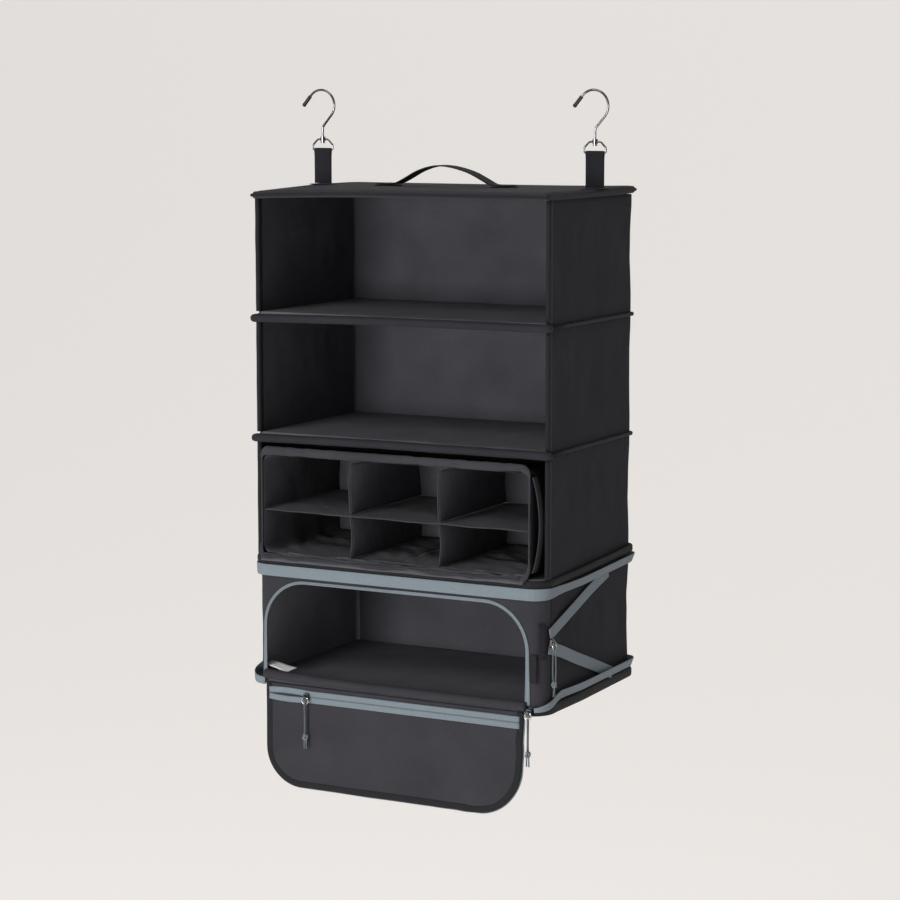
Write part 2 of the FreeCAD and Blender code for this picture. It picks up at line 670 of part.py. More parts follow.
def pull_cord(y, top):
    """Cord doubled over the ring's lowest point at height top, knotted, with two loose tails."""
    radius = size("cord_size") / 2
    half = radius + 0.6 + 0.15
    knot_mid = top - 43
    tail_low = knot_mid - 15
    runs = [
        Part.LineSegment(Vector(0, y - half, knot_mid), Vector(0, y - half, top)),
        Part.Arc(Vector(0, y - half, top), Vector(0, y, top + half), Vector(0, y + half, top)),
        Part.LineSegment(Vector(0, y + half, top), Vector(0, y + half, knot_mid)),
    ]
    path = Part.Wire([run.toShape() for run in runs])
    circle = Part.Circle(Vector(0, y - half, knot_mid), Vector(0, 0, 1), radius)
    loop = path.makePipeShell([Part.Wire(circle.toShape())], True, True)
    knot = Part.makeSphere(4.2, Vector(0, 0, 0))
    knot.transformShape(FreeCAD.Matrix(0.9, 0, 0, 0, 0, 0.75, 0, y, 0, 0, 1.15, knot_mid), True)
    tails = [Part.makeCylinder(radius, 14, Vector(shift, y, tail_low)) for shift in (-1.3, 1.3)]
    return loop.fuse([knot] + tails).removeSplitter()


# the front slider is parked at the foot of its zipper, over the binding of the base
binding_face = FRONT - 3 - 2 * GAP
slider_set("front", Vector(size("door_right") + 6.5, binding_face, size("floor_level") - 6), Rotation())
flap_front = size("flap_face") - size("flap_thick") - GAP - 1.5
slider_set("pocket", Vector(-124, flap_front, pocket_top - 8.5), Rotation())
wall_tape = SIDE + GAP + size("tape_thick")
slider_set("compression", Vector(wall_tape, apex_y, apex_z), Rotation(Vector(0, 0, 1), 90))


# ---------------------------------------------------------------- checks and export
def report_faults():
    """Every object is free of errors and every sub-part has sound closed solids."""
    faults = [item.Name for item in doc.Objects if {"Invalid", "Error"} & set(item.State)]
    for name, item in finished.items():
        shape = item.Shape
        if shape.isNull() or not shape.isValid() or not shape.Solids:
            faults.append(name)
    return faults


doc.recompute()
faults = report_faults()
if faults:
    raise SystemExit(f"unsound: {faults}")

os.makedirs("parts", exist_ok=True)
for name, item in finished.items():
    item.Shape.exportStep(f"parts/{name}.step")
print(len(finished), "nodes")
for name, item in finished.items():
    span = item.Shape.BoundBox
    print(f"{name:24s} solids {len(item.Shape.Solids)} volume {item.Shape.Volume / 1000:9.2f} cm3 "
          f"x {span.XMin:7.1f} {span.XMax:7.1f} y {span.YMin:7.1f} {span.YMax:7.1f} "
          f"z {span.ZMin:7.1f} {span.ZMax:7.1f}")
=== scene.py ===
"""Looks of the hanging packing cube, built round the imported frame. Lengths are in millimetres until a mesh
is made; the frame's origin is on the hanging rail, X right, +Y back, +Z up."""
import math

import bmesh
import bpy
import numpy as np
from mathutils import Matrix, Vector, noise


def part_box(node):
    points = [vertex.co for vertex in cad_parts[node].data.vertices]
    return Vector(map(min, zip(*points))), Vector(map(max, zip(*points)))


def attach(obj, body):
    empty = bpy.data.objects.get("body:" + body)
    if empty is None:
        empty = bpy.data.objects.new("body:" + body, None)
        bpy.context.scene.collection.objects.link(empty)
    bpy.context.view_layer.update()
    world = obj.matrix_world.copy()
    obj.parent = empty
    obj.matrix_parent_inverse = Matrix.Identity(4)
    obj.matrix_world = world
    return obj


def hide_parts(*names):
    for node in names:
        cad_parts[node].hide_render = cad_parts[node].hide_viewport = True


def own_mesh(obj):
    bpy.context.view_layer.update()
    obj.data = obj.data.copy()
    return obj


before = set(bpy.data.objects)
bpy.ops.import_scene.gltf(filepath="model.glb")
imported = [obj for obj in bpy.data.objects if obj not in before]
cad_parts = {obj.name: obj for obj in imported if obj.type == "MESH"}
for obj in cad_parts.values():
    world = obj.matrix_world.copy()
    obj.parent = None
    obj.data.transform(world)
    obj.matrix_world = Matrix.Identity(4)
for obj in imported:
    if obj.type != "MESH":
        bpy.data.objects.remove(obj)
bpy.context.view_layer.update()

MM = 0.001


# ---------------------------------------------------------------- sizes from the frame
def low(node):
    return np.array(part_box(node)[0]) / MM


def high(node):
    return np.array(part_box(node)[1]) / MM


SIDE = high("tier_1_side_walls")[0]
BACK = high("tier_1_back_wall")[1]
WALL_FRONT = low("tier_1_side_walls")[1]
PANEL_FRONT = low("front_panel")[1]
TOP = high("top_cover")[2]
FLOOR = high("base_cover")[2]
BOTTOM = low("base_cover")[2]
ROUND = 20
DOOR_LEFT = low("front_zipper_tape")[0] + 1.5
DOOR_RIGHT = high("front_zipper_tape")[0] - 5
DOOR_TOP = high("front_zipper_tape")[2] - 5
DOOR_ROUND = 58
# how far each fold lifts what hangs under it
TRAVEL = {"tier_1_fold": 120, "tier_2_fold": 116, "tier_3_fold": 120, "tier_4_fold": 110}


# ---------------------------------------------------------------- materials
def tree(name):
    material = bpy.data.materials.new(name)
    material.use_nodes = True
    nodes = material.node_tree.nodes
    nodes.clear()
    output = nodes.new("ShaderNodeOutputMaterial")
    shader = nodes.new("ShaderNodeBsdfPrincipled")
    material.node_tree.links.new(shader.outputs[0], output.inputs[0])
    return material, nodes, material.node_tree.links, shader


def wave(nodes, links, coordinate, direction, period, distortion=0.0):
    item = nodes.new("ShaderNodeTexWave")
    item.wave_type = "BANDS"
    item.bands_direction = direction
    item.inputs["Scale"].default_value = 0.314 / period
    item.inputs["Distortion"].default_value = distortion
    item.inputs["Detail"].default_value = 1
    links.new(coordinate, item.inputs["Vector"])
    return item.outputs["Fac"]


def mix(nodes, links, kind, first, second):
    item = nodes.new("ShaderNodeMath")
    item.operation = kind
    for socket, value in zip(item.inputs, (first, second)):
        if isinstance(value, (int, float)):
            socket.default_value = value
        else:
            links.new(value, socket)
    return item.outputs[0]


def cloth(name, colour, period=0.9, relief=0.25, rough=0.85, sheen=0.03, worn=0.18, crease=0.3):
    """Woven cloth: crossed threads from the piece's own UV map, soft creases and uneven dye."""
    material, nodes, links, shader = tree(name)
    chart = nodes.new("ShaderNodeUVMap")
    uv = chart.outputs[0]
    warp = wave(nodes, links, uv, "X", period * MM, 0.4)
    weft = wave(nodes, links, uv, "Y", period * MM, 0.4)
    threads = mix(nodes, links, "MULTIPLY", warp, weft)
    patches = nodes.new("ShaderNodeTexNoise")
    patches.inputs["Scale"].default_value = 14
    patches.inputs["Detail"].default_value = 4
    links.new(uv, patches.inputs["Vector"])
    slubs = nodes.new("ShaderNodeTexNoise")
    slubs.inputs["Scale"].default_value = 420
    slubs.inputs["Detail"].default_value = 2
    links.new(uv, slubs.inputs["Vector"])
    fine = mix(nodes, links, "MULTIPLY", slubs.outputs["Fac"], 0.5)
    spread = mix(nodes, links, "ADD", patches.outputs["Fac"], fine)
    ramp = nodes.new("ShaderNodeValToRGB")
    ramp.color_ramp.elements[0].position = 0.45
    ramp.color_ramp.elements[1].position = 1.05
    dark = [value * (1 - worn) for value in colour]
    light = [min(1, value * (1 + worn)) for value in colour]
    ramp.color_ramp.elements[0].color = (*dark, 1)
    ramp.color_ramp.elements[1].color = (*light, 1)
    links.new(spread, ramp.inputs[0])
    links.new(ramp.outputs[0], shader.inputs["Base Color"])
    creases = nodes.new("ShaderNodeTexNoise")
    creases.inputs["Scale"].default_value = 22
    creases.inputs["Detail"].default_value = 3
    links.new(uv, creases.inputs["Vector"])
    soft = nodes.new("ShaderNodeBump")
    soft.inputs["Strength"].default_value = crease
    soft.inputs["Distance"].default_value = 0.004
    links.new(creases.outputs["Fac"], soft.inputs["Height"])
    bump = nodes.new("ShaderNodeBump")
    bump.inputs["Strength"].default_value = relief
    bump.inputs["Distance"].default_value = 0.0004
    links.new(threads, bump.inputs["Height"])
    links.new(soft.outputs[0], bump.inputs["Normal"])
    links.new(bump.outputs[0], shader.inputs["Normal"])
    shader.inputs["Roughness"].default_value = rough
    shader.inputs["Sheen Weight"].default_value = sheen
    shader.inputs["Sheen Roughness"].default_value = 0.5
    shader.inputs["Specular IOR Level"].default_value = 0.12
    return material


def ribbed(name, colour, period, across="X", relief=0.6, rough=0.75, sheen=0.02):
    """Narrow-woven tape or webbing with ribs along one UV direction."""
    material, nodes, links, shader = tree(name)
    chart = nodes.new("ShaderNodeUVMap")
    uv = chart.outputs[0]
    ribs = wave(nodes, links, uv, across, period * MM)
    other = "Y" if across == "X" else "X"
    cross = wave(nodes, links, uv, other, period * 0.6 * MM, 0.6)
    weave = mix(nodes, links, "ADD", ribs, mix(nodes, links, "MULTIPLY", cross, 0.4))
    patches = nodes.new("ShaderNodeTexNoise")
    patches.inputs["Scale"].default_value = 700
    patches.inputs["Detail"].default_value = 3
    links.new(uv, patches.inputs["Vector"])
    tone = mix(nodes, links, "ADD", mix(nodes, links, "MULTIPLY", weave, 0.35), patches.outputs["Fac"])
    ramp = nodes.new("ShaderNodeValToRGB")
    ramp.color_ramp.elements[0].position = 0.35
    ramp.color_ramp.elements[1].position = 1.0
    ramp.color_ramp.elements[0].color = (*[value * 0.82 for value in colour], 1)
    ramp.color_ramp.elements[1].color = (*[min(1, value * 1.22) for value in colour], 1)
    links.new(tone, ramp.inputs[0])
    links.new(ramp.outputs[0], shader.inputs["Base Color"])
    bump = nodes.new("ShaderNodeBump")
    bump.inputs["Strength"].default_value = relief
    bump.inputs["Distance"].default_value = 0.0005
    links.new(weave, bump.inputs["Height"])
    links.new(bump.outputs[0], shader.inputs["Normal"])
    shader.inputs["Roughness"].default_value = rough
    shader.inputs["Sheen Weight"].default_value = sheen
    shader.inputs["Specular IOR Level"].default_value = 0.2
    return material


def solid(name, colour, rough, metallic=0.0, grain=60.0, relief=0.05, coat=0.0):
    """Metal, plastic or rubber with fine uneven grain."""
    material, nodes, links, shader = tree(name)
    place = nodes.new("ShaderNodeTexCoord")
    spots = nodes.new("ShaderNodeTexNoise")
    spots.inputs["Scale"].default_value = grain
    spots.inputs["Detail"].default_value = 5
    links.new(place.outputs["Object"], spots.inputs["Vector"])
    ramp = nodes.new("ShaderNodeValToRGB")
    ramp.color_ramp.elements[0].position = 0.3
    ramp.color_ramp.elements[1].position = 0.75
    ramp.color_ramp.elements[0].color = (*[value * 0.88 for value in colour], 1)
    ramp.color_ramp.elements[1].color = (*[min(1, value * 1.08) for value in colour], 1)
    links.new(spots.outputs["Fac"], ramp.inputs[0])
    links.new(ramp.outputs[0], shader.inputs["Base Color"])
    polish = nodes.new("ShaderNodeMapRange")
    polish.inputs["To Min"].default_value = rough * 0.7
    polish.inputs["To Max"].default_value = min(1, rough * 1.35)
    links.new(spots.outputs["Fac"], polish.inputs["Value"])
    links.new(polish.outputs[0], shader.inputs["Roughness"])
    bump = nodes.new("ShaderNodeBump")
    bump.inputs["Strength"].default_value = relief
    bump.inputs["Distance"].default_value = 0.0003
    links.new(spots.outputs["Fac"], bump.inputs["Height"])
    links.new(bump.outputs[0], shader.inputs["Normal"])
    shader.inputs["Metallic"].default_value = metallic
    shader.inputs["Coat Weight"].default_value = coat
    return material


SHELL = cloth("shell_cloth", (0.0150, 0.0148, 0.0200))
LID = cloth("lid_cloth", (0.031, 0.030, 0.036))
# painted light: a lighter copy of the shell cloth for the walls' inner faces, standing in for light inside the
# tiers
INSIDE = cloth("inside_cloth", (0.062, 0.061, 0.071))
# painted light: the shelf panels get a lighter cloth because the lamps barely reach their tops
SHELF_PAINTED_LIGHT = cloth("shelf_panel_painted_light", (0.105, 0.103, 0.118))
# painted light: a still lighter copy for inner faces near the sides of walls set behind tier 1's front,
# lighting their shaded side walls
SIDE_INSIDE = cloth("side_inside_cloth", (0.190, 0.188, 0.215))
ROLL = cloth("rolled_cloth", (0.021, 0.020, 0.0255), crease=0.6)
PANEL = cloth("panel_cloth", (0.033, 0.032, 0.038), crease=0.5)
# painted light: a lighter copy of the bin's cloth for its inside and compartment shelf, standing in for light
# in the cells; on the apron it also paints highlights
BIN = cloth("bin_cloth", (0.085, 0.083, 0.094), crease=0.7)
# painted light: the dividers' cloth is lighter to stand in for light on the shaded cell walls
BIN_WALL = cloth("bin_wall_cloth", (0.110, 0.108, 0.122), crease=0.8)
# painted light: the cells' back cloth is lighter to stand in for light reaching the back of the bin
BIN_BACK = cloth("bin_back_cloth", (0.088, 0.086, 0.097), crease=0.8)
BIN_LIP = cloth("bin_lip_cloth", (0.036, 0.035, 0.041), crease=1.0)
BIN_EDGE = cloth("bin_edge_cloth", (0.040, 0.039, 0.043), period=0.6)
TRIM = ribbed("trim_tape", (0.010, 0.010, 0.012), 1.0, relief=0.4, rough=0.7)
WEBBING = ribbed("webbing", (0.014, 0.014, 0.018), 1.6, relief=0.9)
TAPE = ribbed("zipper_tape", (0.192, 0.232, 0.262), 1.5, relief=1.0)
COIL = ribbed("zipper_coil", (0.165, 0.198, 0.222), 1.0, relief=1.0, rough=0.5)
THREAD = cloth("thread", (0.020, 0.020, 0.024), period=0.4, relief=0.6, worn=0.1)
CORD = ribbed("pull_cord", (0.22, 0.26, 0.285), 0.9, relief=1.0, rough=0.8)
CHROME = solid("plated_wire", (0.62, 0.62, 0.64), 0.16, metallic=1.0, grain=90)
# painted reflection: the hooks' and rings' chrome is darkened to stand in for dark surroundings mirrored in it
CHROME_PAINTED_DARK = solid("plated_wire_painted_dark", (0.150, 0.150, 0.158), 0.14, metallic=1.0, grain=90)
GUNMETAL = solid("slider_metal", (0.10, 0.10, 0.105), 0.28, metallic=1.0, grain=140)
RUBBER = solid("rubber_tip", (0.012, 0.012, 0.012), 0.6, grain=200, relief=0.25)
BOARD = solid("stiffener", (0.40, 0.40, 0.38), 0.7, grain=30, relief=0.2)
LABEL = cloth("label_cloth", (0.90, 0.90, 0.89), period=0.5, relief=0.3, worn=0.04)
DARK_LABEL = cloth("dark_label_cloth", (0.018, 0.018, 0.020), period=0.5, relief=0.4, worn=0.15)


# ---------------------------------------------------------------- mesh tools
def make_mesh(name, points, faces, uvs, material):
    """Smooth mesh from millimetre points; uvs is one (u, v) in millimetres per face corner."""
    mesh = bpy.data.meshes.new(name)
    mesh.from_pydata([tuple(point) for point in np.asarray(points) * MM], [], faces)
    layer = mesh.uv_layers.new(name="UVMap")
    layer.data.foreach_set("uv", (np.asarray(uvs, float) * MM).ravel())
    mesh.polygons.foreach_set("use_smooth", [True] * len(mesh.polygons))
    turned = bmesh.new()
    turned.from_mesh(mesh)
    bmesh.ops.recalc_face_normals(turned, faces=turned.faces)
    turned.to_mesh(mesh)
    turned.free()
    mesh.update()
    piece = bpy.data.objects.new(name, mesh)
    bpy.context.collection.objects.link(piece)
    mesh.materials.append(material)
    return piece


class Shape:
    """Gathers closed shells in millimetres into one piece."""

    def __init__(self):
        self.points = []
        self.faces = []
        self.uvs = []
        self.sides = []

    def add(self, points, faces, uvs, sides=None):
        """sides says for each face which material it has: 0 the outer, 1 the inner."""
        start = len(self.points)
        self.points.extend([tuple(point) for point in points])
        self.faces.extend([tuple(index + start for index in face) for face in faces])
        self.uvs.extend(uvs)
        self.sides.extend(sides or [0] * len(faces))

    def piece(self, name, material, inner=None):
        item = make_mesh(name, self.points, self.faces, self.uvs, material)
        if inner:
            item.data.materials.append(inner)
            item.data.polygons.foreach_set("material_index", self.sides)
        return item


def tangents(path, closed):
    path = np.asarray(path, float)
    if closed:
        steps = np.roll(path, -1, 0) - np.roll(path, 1, 0)
    else:
        steps = np.gradient(path, axis=0)
    return steps / np.linalg.norm(steps, axis=1)[:, None]


def sweep(shape, path, profile, ups, closed=False):
    """Sweeps a closed profile of (side, up) points along a path. ups is one up direction for each point
    or one for all; side is along x up. The profile may also be given for each point."""
    path = np.asarray(path, float)
    count = len(path)
    along = tangents(path, closed)
    ups = np.broadcast_to(np.asarray(ups, float), path.shape)
    sides = np.cross(along, ups)
    sides /= np.linalg.norm(sides, axis=1)[:, None]
    lift = np.cross(sides, along)
    profile = np.asarray(profile, float)
    if profile.ndim == 2:
        profile = np.broadcast_to(profile, (count, *profile.shape))
    around = profile.shape[1]
    points = path[:, None, :] + profile[:, :, :1] * sides[:, None, :] + profile[:, :, 1:] * lift[:, None, :]
    step = np.linalg.norm(np.diff(path, axis=0), axis=1)
    run = np.concatenate([[0], np.cumsum(step)])
    loop = np.linalg.norm(np.roll(profile[0], -1, 0) - profile[0], axis=1)
    turn = np.concatenate([[0], np.cumsum(loop)])
    faces, uvs = [], []
    last = count if closed else count - 1
    for row in range(last):
        after = (row + 1) % count
        end = run[row + 1] if row + 1 < count else run[-1] + np.linalg.norm(path[0] - path[-1])
        for column in range(around):
            right = (column + 1) % around
            here, there = row * around, after * around
            faces.append((here + column, there + column, there + right, here + right))
            uvs += [(run[row], turn[column]), (end, turn[column])]
            uvs += [(end, turn[column + 1]), (run[row], turn[column + 1])]
    if not closed:
        first = list(range(around))
        final = [(count - 1) * around + column for column in range(around)][::-1]
        for cap in (first, final):
            faces.append(tuple(cap))
            uvs += [(profile[0][index % around][0], profile[0][index % around][1]) for index in cap]
    shape.add(points.reshape(-1, 3), faces, uvs)


def oval(side, up, count=12, power=2.0):
    """Closed profile: an ellipse, or a softened rectangle with a higher power."""
    angles = np.arange(count) * 2 * math.pi / count
    cosine, sine = np.cos(angles), np.sin(angles)
    shrink = (np.abs(cosine) ** power + np.abs(sine) ** power) ** (-1 / power)
    return np.stack([cosine * shrink * side, sine * shrink * up], 1)


def sheet(shape, grid, thick, uv):
    """Closed cloth from a grid of middle points (rows, columns, 3) with a rounded hem.

    uv is (rows, columns, 2)."""
    grid = np.asarray(grid, float)
    rows, columns = grid.shape[:2]
    by_row = np.gradient(grid, axis=0)
    by_column = np.gradient(grid, axis=1)
    normal = np.cross(by_row, by_column)
    normal /= np.linalg.norm(normal, axis=2)[:, :, None] + 1e-12
    front = grid + normal * thick / 2
    rear = grid - normal * thick / 2
    size = rows * columns
    edge = [(0, column) for column in range(columns)] + [(row, columns - 1) for row in range(1, rows)]
    edge += [(rows - 1, column) for column in range(columns - 2, -1, -1)]
    edge += [(row, 0) for row in range(rows - 2, 0, -1)]
    outward = []
    for row, column in edge:
        push = np.zeros(3)
        if row == 0:
            push -= by_row[row, column] / (np.linalg.norm(by_row[row, column]) + 1e-12)
        if row == rows - 1:
            push += by_row[row, column] / (np.linalg.norm(by_row[row, column]) + 1e-12)
        if column == 0:
            push -= by_column[row, column] / (np.linalg.norm(by_column[row, column]) + 1e-12)
        if column == columns - 1:
            push += by_column[row, column] / (np.linalg.norm(by_column[row, column]) + 1e-12)
        outward.append(grid[row, column] + push * thick * 0.35)
    points = np.concatenate([front.reshape(-1, 3), rear.reshape(-1, 3), np.array(outward)])
    flat = np.asarray(uv, float).reshape(-1, 2)
    faces, uvs, sides = [], [], []

    def index(row, column):
        return row * columns + column

    for row in range(rows - 1):
        for column in range(columns - 1):
            ring = [index(row, column), index(row + 1, column)]
            ring += [index(row + 1, column + 1), index(row, column + 1)]
            faces.append(tuple(ring))
            uvs += [tuple(flat[i]) for i in ring]
            faces.append(tuple(i + size for i in reversed(ring)))
            uvs += [tuple(flat[i]) for i in reversed(ring)]
            sides += [0, 1]
    total = len(edge)
    for position in range(total):
        here = index(*edge[position])
        there = index(*edge[(position + 1) % total])
        hem_here, hem_there = 2 * size + position, 2 * size + (position + 1) % total
        faces.append((here, there, hem_there, hem_here))
        uvs += [tuple(flat[here]), tuple(flat[there]), tuple(flat[there] + 0.5), tuple(flat[here] + 0.5)]
        faces.append((hem_here, hem_there, there + size, here + size))
        uvs += [tuple(flat[here] + 0.5), tuple(flat[there] + 0.5), tuple(flat[there]), tuple(flat[here])]
        sides += [0, 0]
    shape.add(points, faces, uvs, sides)


def rounded(left, right, front, back, radii, step=4.0, corner_steps=8):
    """Closed outline of a rectangle, counter-clockwise from the front left; radii for front-left, front-right,
    back-right and back-left."""
    corners = [(left, front, 180), (right, front, 270), (right, back, 0), (left, back, 90)]
    arcs = []
    for (x, y, start), radius in zip(corners, radii):
        centre_x = x + radius if x == left else x - radius
        centre_y = y + radius if y == front else y - radius
        angles = np.radians(start + np.linspace(0, 90, corner_steps + 1))
        arcs.append(np.stack([centre_x + radius * np.cos(angles), centre_y + radius * np.sin(angles)], 1))
    outline = []
    for number, arc in enumerate(arcs):
        outline += [tuple(point) for point in arc]
        start, end = arc[-1], arcs[(number + 1) % 4][0]
        pieces = max(1, int(np.linalg.norm(end - start) / step))
        for share in np.linspace(0, 1, pieces + 1)[1:-1]:
            outline.append(tuple(start + (end - start) * share))
    return np.array(outline)


def slab(shape, outline, base, top, edge, wobble=0.0, seed=0):
    """Soft-edged padded board. edge is the radius of its long edges; wobble lifts its faces unevenly."""
    outline = np.asarray(outline, float)
    middle = outline.mean(0)
    inward = middle - outline
    steps = np.roll(outline, -1, 0) - np.roll(outline, 1, 0)
    steps /= np.linalg.norm(steps, axis=1)[:, None]
    normals = np.stack([-steps[:, 1], steps[:, 0]], 1)
    half = (top - base) / 2
    edge = min(edge, half * 0.98)
    rings = []
    for angle in np.radians(np.linspace(-90, 90, 9)):
        inset = edge * (1 - math.cos(angle))
        z = (base + edge if angle < 0 else top - edge) + edge * math.sin(angle)
        rings.append(np.column_stack([outline + normals * inset, np.full(len(outline), z)]))
    lower, upper = [], []
    for share in (0.97, 0.93, 0.85, 0.7, 0.5, 0.3, 0.1):
        spots = middle - inward * share
        for bunch, z, sign in ((upper, top, 1), (lower, base, -1)):
            lift = [sign * wobble * noise.noise((x * 0.02 + seed, y * 0.02, z * 0.01)) for x, y in spots]
            bunch.append(np.column_stack([spots, z + np.array(lift)]))
    rings = lower[::-1] + rings + upper
    count = len(outline)
    points = np.concatenate(rings + [np.array([[*middle, base], [*middle, top]])])
    run = np.concatenate([[0], np.cumsum(np.linalg.norm(np.diff(outline, axis=0), axis=1))])
    faces, uvs = [], []
    for row in range(len(rings) - 1):
        flank = len(lower) <= row < len(rings) - len(upper) - 1
        for column in range(count):
            right = (column + 1) % count
            here, above = row * count, (row + 1) * count
            ring = [here + column, here + right, above + right, above + column]
            faces.append(tuple(ring))
            for i in ring:
                spot = points[i]
                uvs.append((run[i % count], spot[2]) if flank else (spot[0], spot[1]))
    for apex, row in ((len(points) - 2, 0), (len(points) - 1, len(rings) - 1)):
        for column in range(count):
            right = (column + 1) % count
            ring = [row * count + column, row * count + right, apex]
            if row == 0:
                ring = [ring[1], ring[0], ring[2]]
            faces.append(tuple(ring))
            uvs += [(points[i][0], points[i][1]) for i in ring]
    shape.add(points, faces, uvs)


def stitches(shape, path, normal, pitch=3.2, length=2.1, radius=0.28, lift=0.15):
    """A row of thread stitches along a path; normal points away from the cloth."""
    path = np.asarray(path, float)
    normals = np.broadcast_to(np.asarray(normal, float), path.shape)
    step = np.linalg.norm(np.diff(path, axis=0), axis=1)
    run = np.concatenate([[0], np.cumsum(step)])
    for start in np.arange(pitch / 2, run[-1] - length, pitch):
        spots = []
        for share, rise in ((0, -0.6), (0.25, 0.6), (0.75, 0.6), (1, -0.6)):
            at = start + share * length
            spot = [np.interp(at, run, path[:, axis]) for axis in range(3)]
            out = [np.interp(at, run, normals[:, axis]) for axis in range(3)]
            spots.append(np.array(spot) + np.array(out) * (lift + rise * radius))
        sweep(shape, spots, oval(radius, radius, 5), out)


def tube(shape, path, radius, closed=False, count=10, up=(0.3, 0.9, 0.2)):
    sweep(shape, path, oval(radius, radius, count), up, closed)


def smooth_path(points, step=2.0):
    """Catmull-Rom line through points, evenly spaced."""
    points = np.asarray(points, float)
    padded = np.vstack([2 * points[0] - points[1], points, 2 * points[-1] - points[-2]])
    line = []
    for i in range(1, len(padded) - 2):
        a, b, c, d = padded[i - 1:i + 3]
        for t in np.linspace(0, 1, 12, endpoint=False):
            square = (2 * a - 5 * b + 4 * c - d) * t ** 2
            cube = (3 * b - a - 3 * c + d) * t ** 3
            line.append(0.5 * (2 * b + (c - a) * t + square + cube))
    line.append(points[-1])
    line = np.array(line)
    run = np.concatenate([[0], np.cumsum(np.linalg.norm(np.diff(line, axis=0), axis=1))])
    count = max(2, int(run[-1] / step) + 1)
    at = np.linspace(0, run[-1], count)
    return np.stack([np.interp(at, run, line[:, axis]) for axis in range(3)], 1)


def ripple(x, z, seed):
    return noise.noise((x, z, seed))


def flatten(joint, fixed, far, spare=0.4):
    """Fold that holds cloth at one height and brings its far height in by the joint's travel, less a little."""
    tall = abs(far - fixed)
    return joint, fixed, (tall - TRAVEL[joint] - spare) / tall


def finish(piece, body, nodes=(), fold=None):
    """Puts a piece on its body; fold is (joint, anchor height, share kept) for cloth that a tier flattens, and
    here it only gives the piece a mesh of its own.
    """
    if nodes:
        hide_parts(*nodes)
    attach(piece, body)
    if fold:
        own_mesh(piece)
    return piece


# ---------------------------------------------------------------- camera
TURN = 0.4839
PITCH = 0.1349
AIM = Vector((0.00627, -0.02670, -0.45668))
AWAY = 3.370
towards = Vector((math.sin(TURN) * math.cos(PITCH), -math.cos(TURN) * math.cos(PITCH), math.sin(PITCH)))
lens = bpy.data.cameras.new("camera")
lens.lens = 104.98
lens.sensor_width = 36
lens.clip_end = 50
camera = bpy.data.objects.new("camera", lens)
camera.location = AIM + towards * AWAY
camera.rotation_euler = (-towards).to_track_quat("-Z", "Y").to_euler()
bpy.context.collection.objects.link(camera)
bpy.context.scene.camera = camera


# ---------------------------------------------------------------- pulls
def pull(name, body, spot, turned):
    """Doubled cord over a pull ring, with its knot and two loose tails."""
    turn = Matrix.Rotation(math.pi / 2 if turned else 0, 3, "Z")

    def place(x, y, z):
        return (turn @ Vector((x, y, z)) + Vector(spot)) * MM

    route = [(-1.6, -5.0, -66.2), (-1.5, -5.3, -60), (-1.0, -6.2, -54), (0.2, -7.0, -46),
             (0.5, -7.2, -34), (0.3, -7.0, -20), (0.0, -6.9, -10), (0.0, -6.0, -6.2),
             (0.0, -4.4, -6.2), (0.0, -3.5, -10), (-0.3, -3.4, -20), (-0.5, -3.2, -34),
             (-0.2, -3.6, -46), (1.0, -4.4, -54), (1.5, -5.2, -60), (1.8, -5.4, -66.2)]
    curve = bpy.data.curves.new(f"{name}_pull_line", "CURVE")
    curve.dimensions = "3D"
    curve.bevel_depth = 0.9 * MM
    curve.bevel_resolution = 3
    curve.resolution_u = 8
    curve.use_fill_caps = True
    spline = curve.splines.new("NURBS")
    spline.points.add(len(route) - 1)
    for point, corner in zip(spline.points, route):
        point.co = (*place(*corner), 1)
    spline.order_u = 3
    spline.use_endpoint_u = True
    curve.materials.append(CORD)
    cord = bpy.data.objects.new(f"{name}_pull_line", curve)
    bpy.context.collection.objects.link(cord)
    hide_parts(f"{name}_pull_cord")
    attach(cord, body)

    knot = Shape()
    turns = []
    for step in np.linspace(0, 2 * math.pi, 72, endpoint=False):
        swell = 2.3 + 0.75 * math.cos(3 * step)
        turns.append((swell * math.cos(2 * step), -5.2 + swell * 0.85 * math.sin(2 * step),
                      -51.2 + 2.9 * math.sin(3 * step)))
    turns = [np.array(place(*point)) / MM for point in turns]
    sweep(knot, turns, oval(1.05, 1.05, 8), (0.2, 0.4, 0.9), closed=True)
    tied = knot.piece(f"{name}_pull_knot", CORD)
    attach(tied, body)


def spot_of(node, turned):
    first, last = low(node), high(node)
    middle = (first + last) / 2
    if turned:
        return (first[0] - 0.2, middle[1], middle[2])
    return (middle[0], last[1] + 0.2, middle[2])


for set_name, turned in (("front", False), ("pocket", False), ("compression", True)):
    pull(set_name, f"{set_name}_pull", spot_of(f"{set_name}_slider", turned), turned)


# ---------------------------------------------------------------- top
def back_radii(front, back):
    return (front, front, back, back)


def ring_path(node, half, front, back, step=5.0):
    """Closed middle line of a band, inset by half from its box."""
    first, last = low(node), high(node)
    radii = back_radii(front, back)
    return rounded(first[0] + half, last[0] - half, first[1] + half, last[1] - half, radii, step)


def level(outline, z):
    return np.column_stack([outline, np.full(len(outline), z)])


def top_lie(points):
    """The top panel hangs a little at its front left corner and stands out at its back right corner."""
    points = np.array(points, float)
    droop = np.clip(-points[:, 0] / 208, 0, 1) ** 2 * np.clip(-points[:, 1] / 161, 0, 1)
    proud = np.clip(points[:, 0] / 208, 0, 1) ** 4 * np.clip(points[:, 1] / 100, -0.2, 1)
    points[:, 2] += 2.0 * np.clip(proud, 0, 1) - 4.5 * droop
    points[:, 0] += 2.5 * droop + 4.0 * proud
    return points


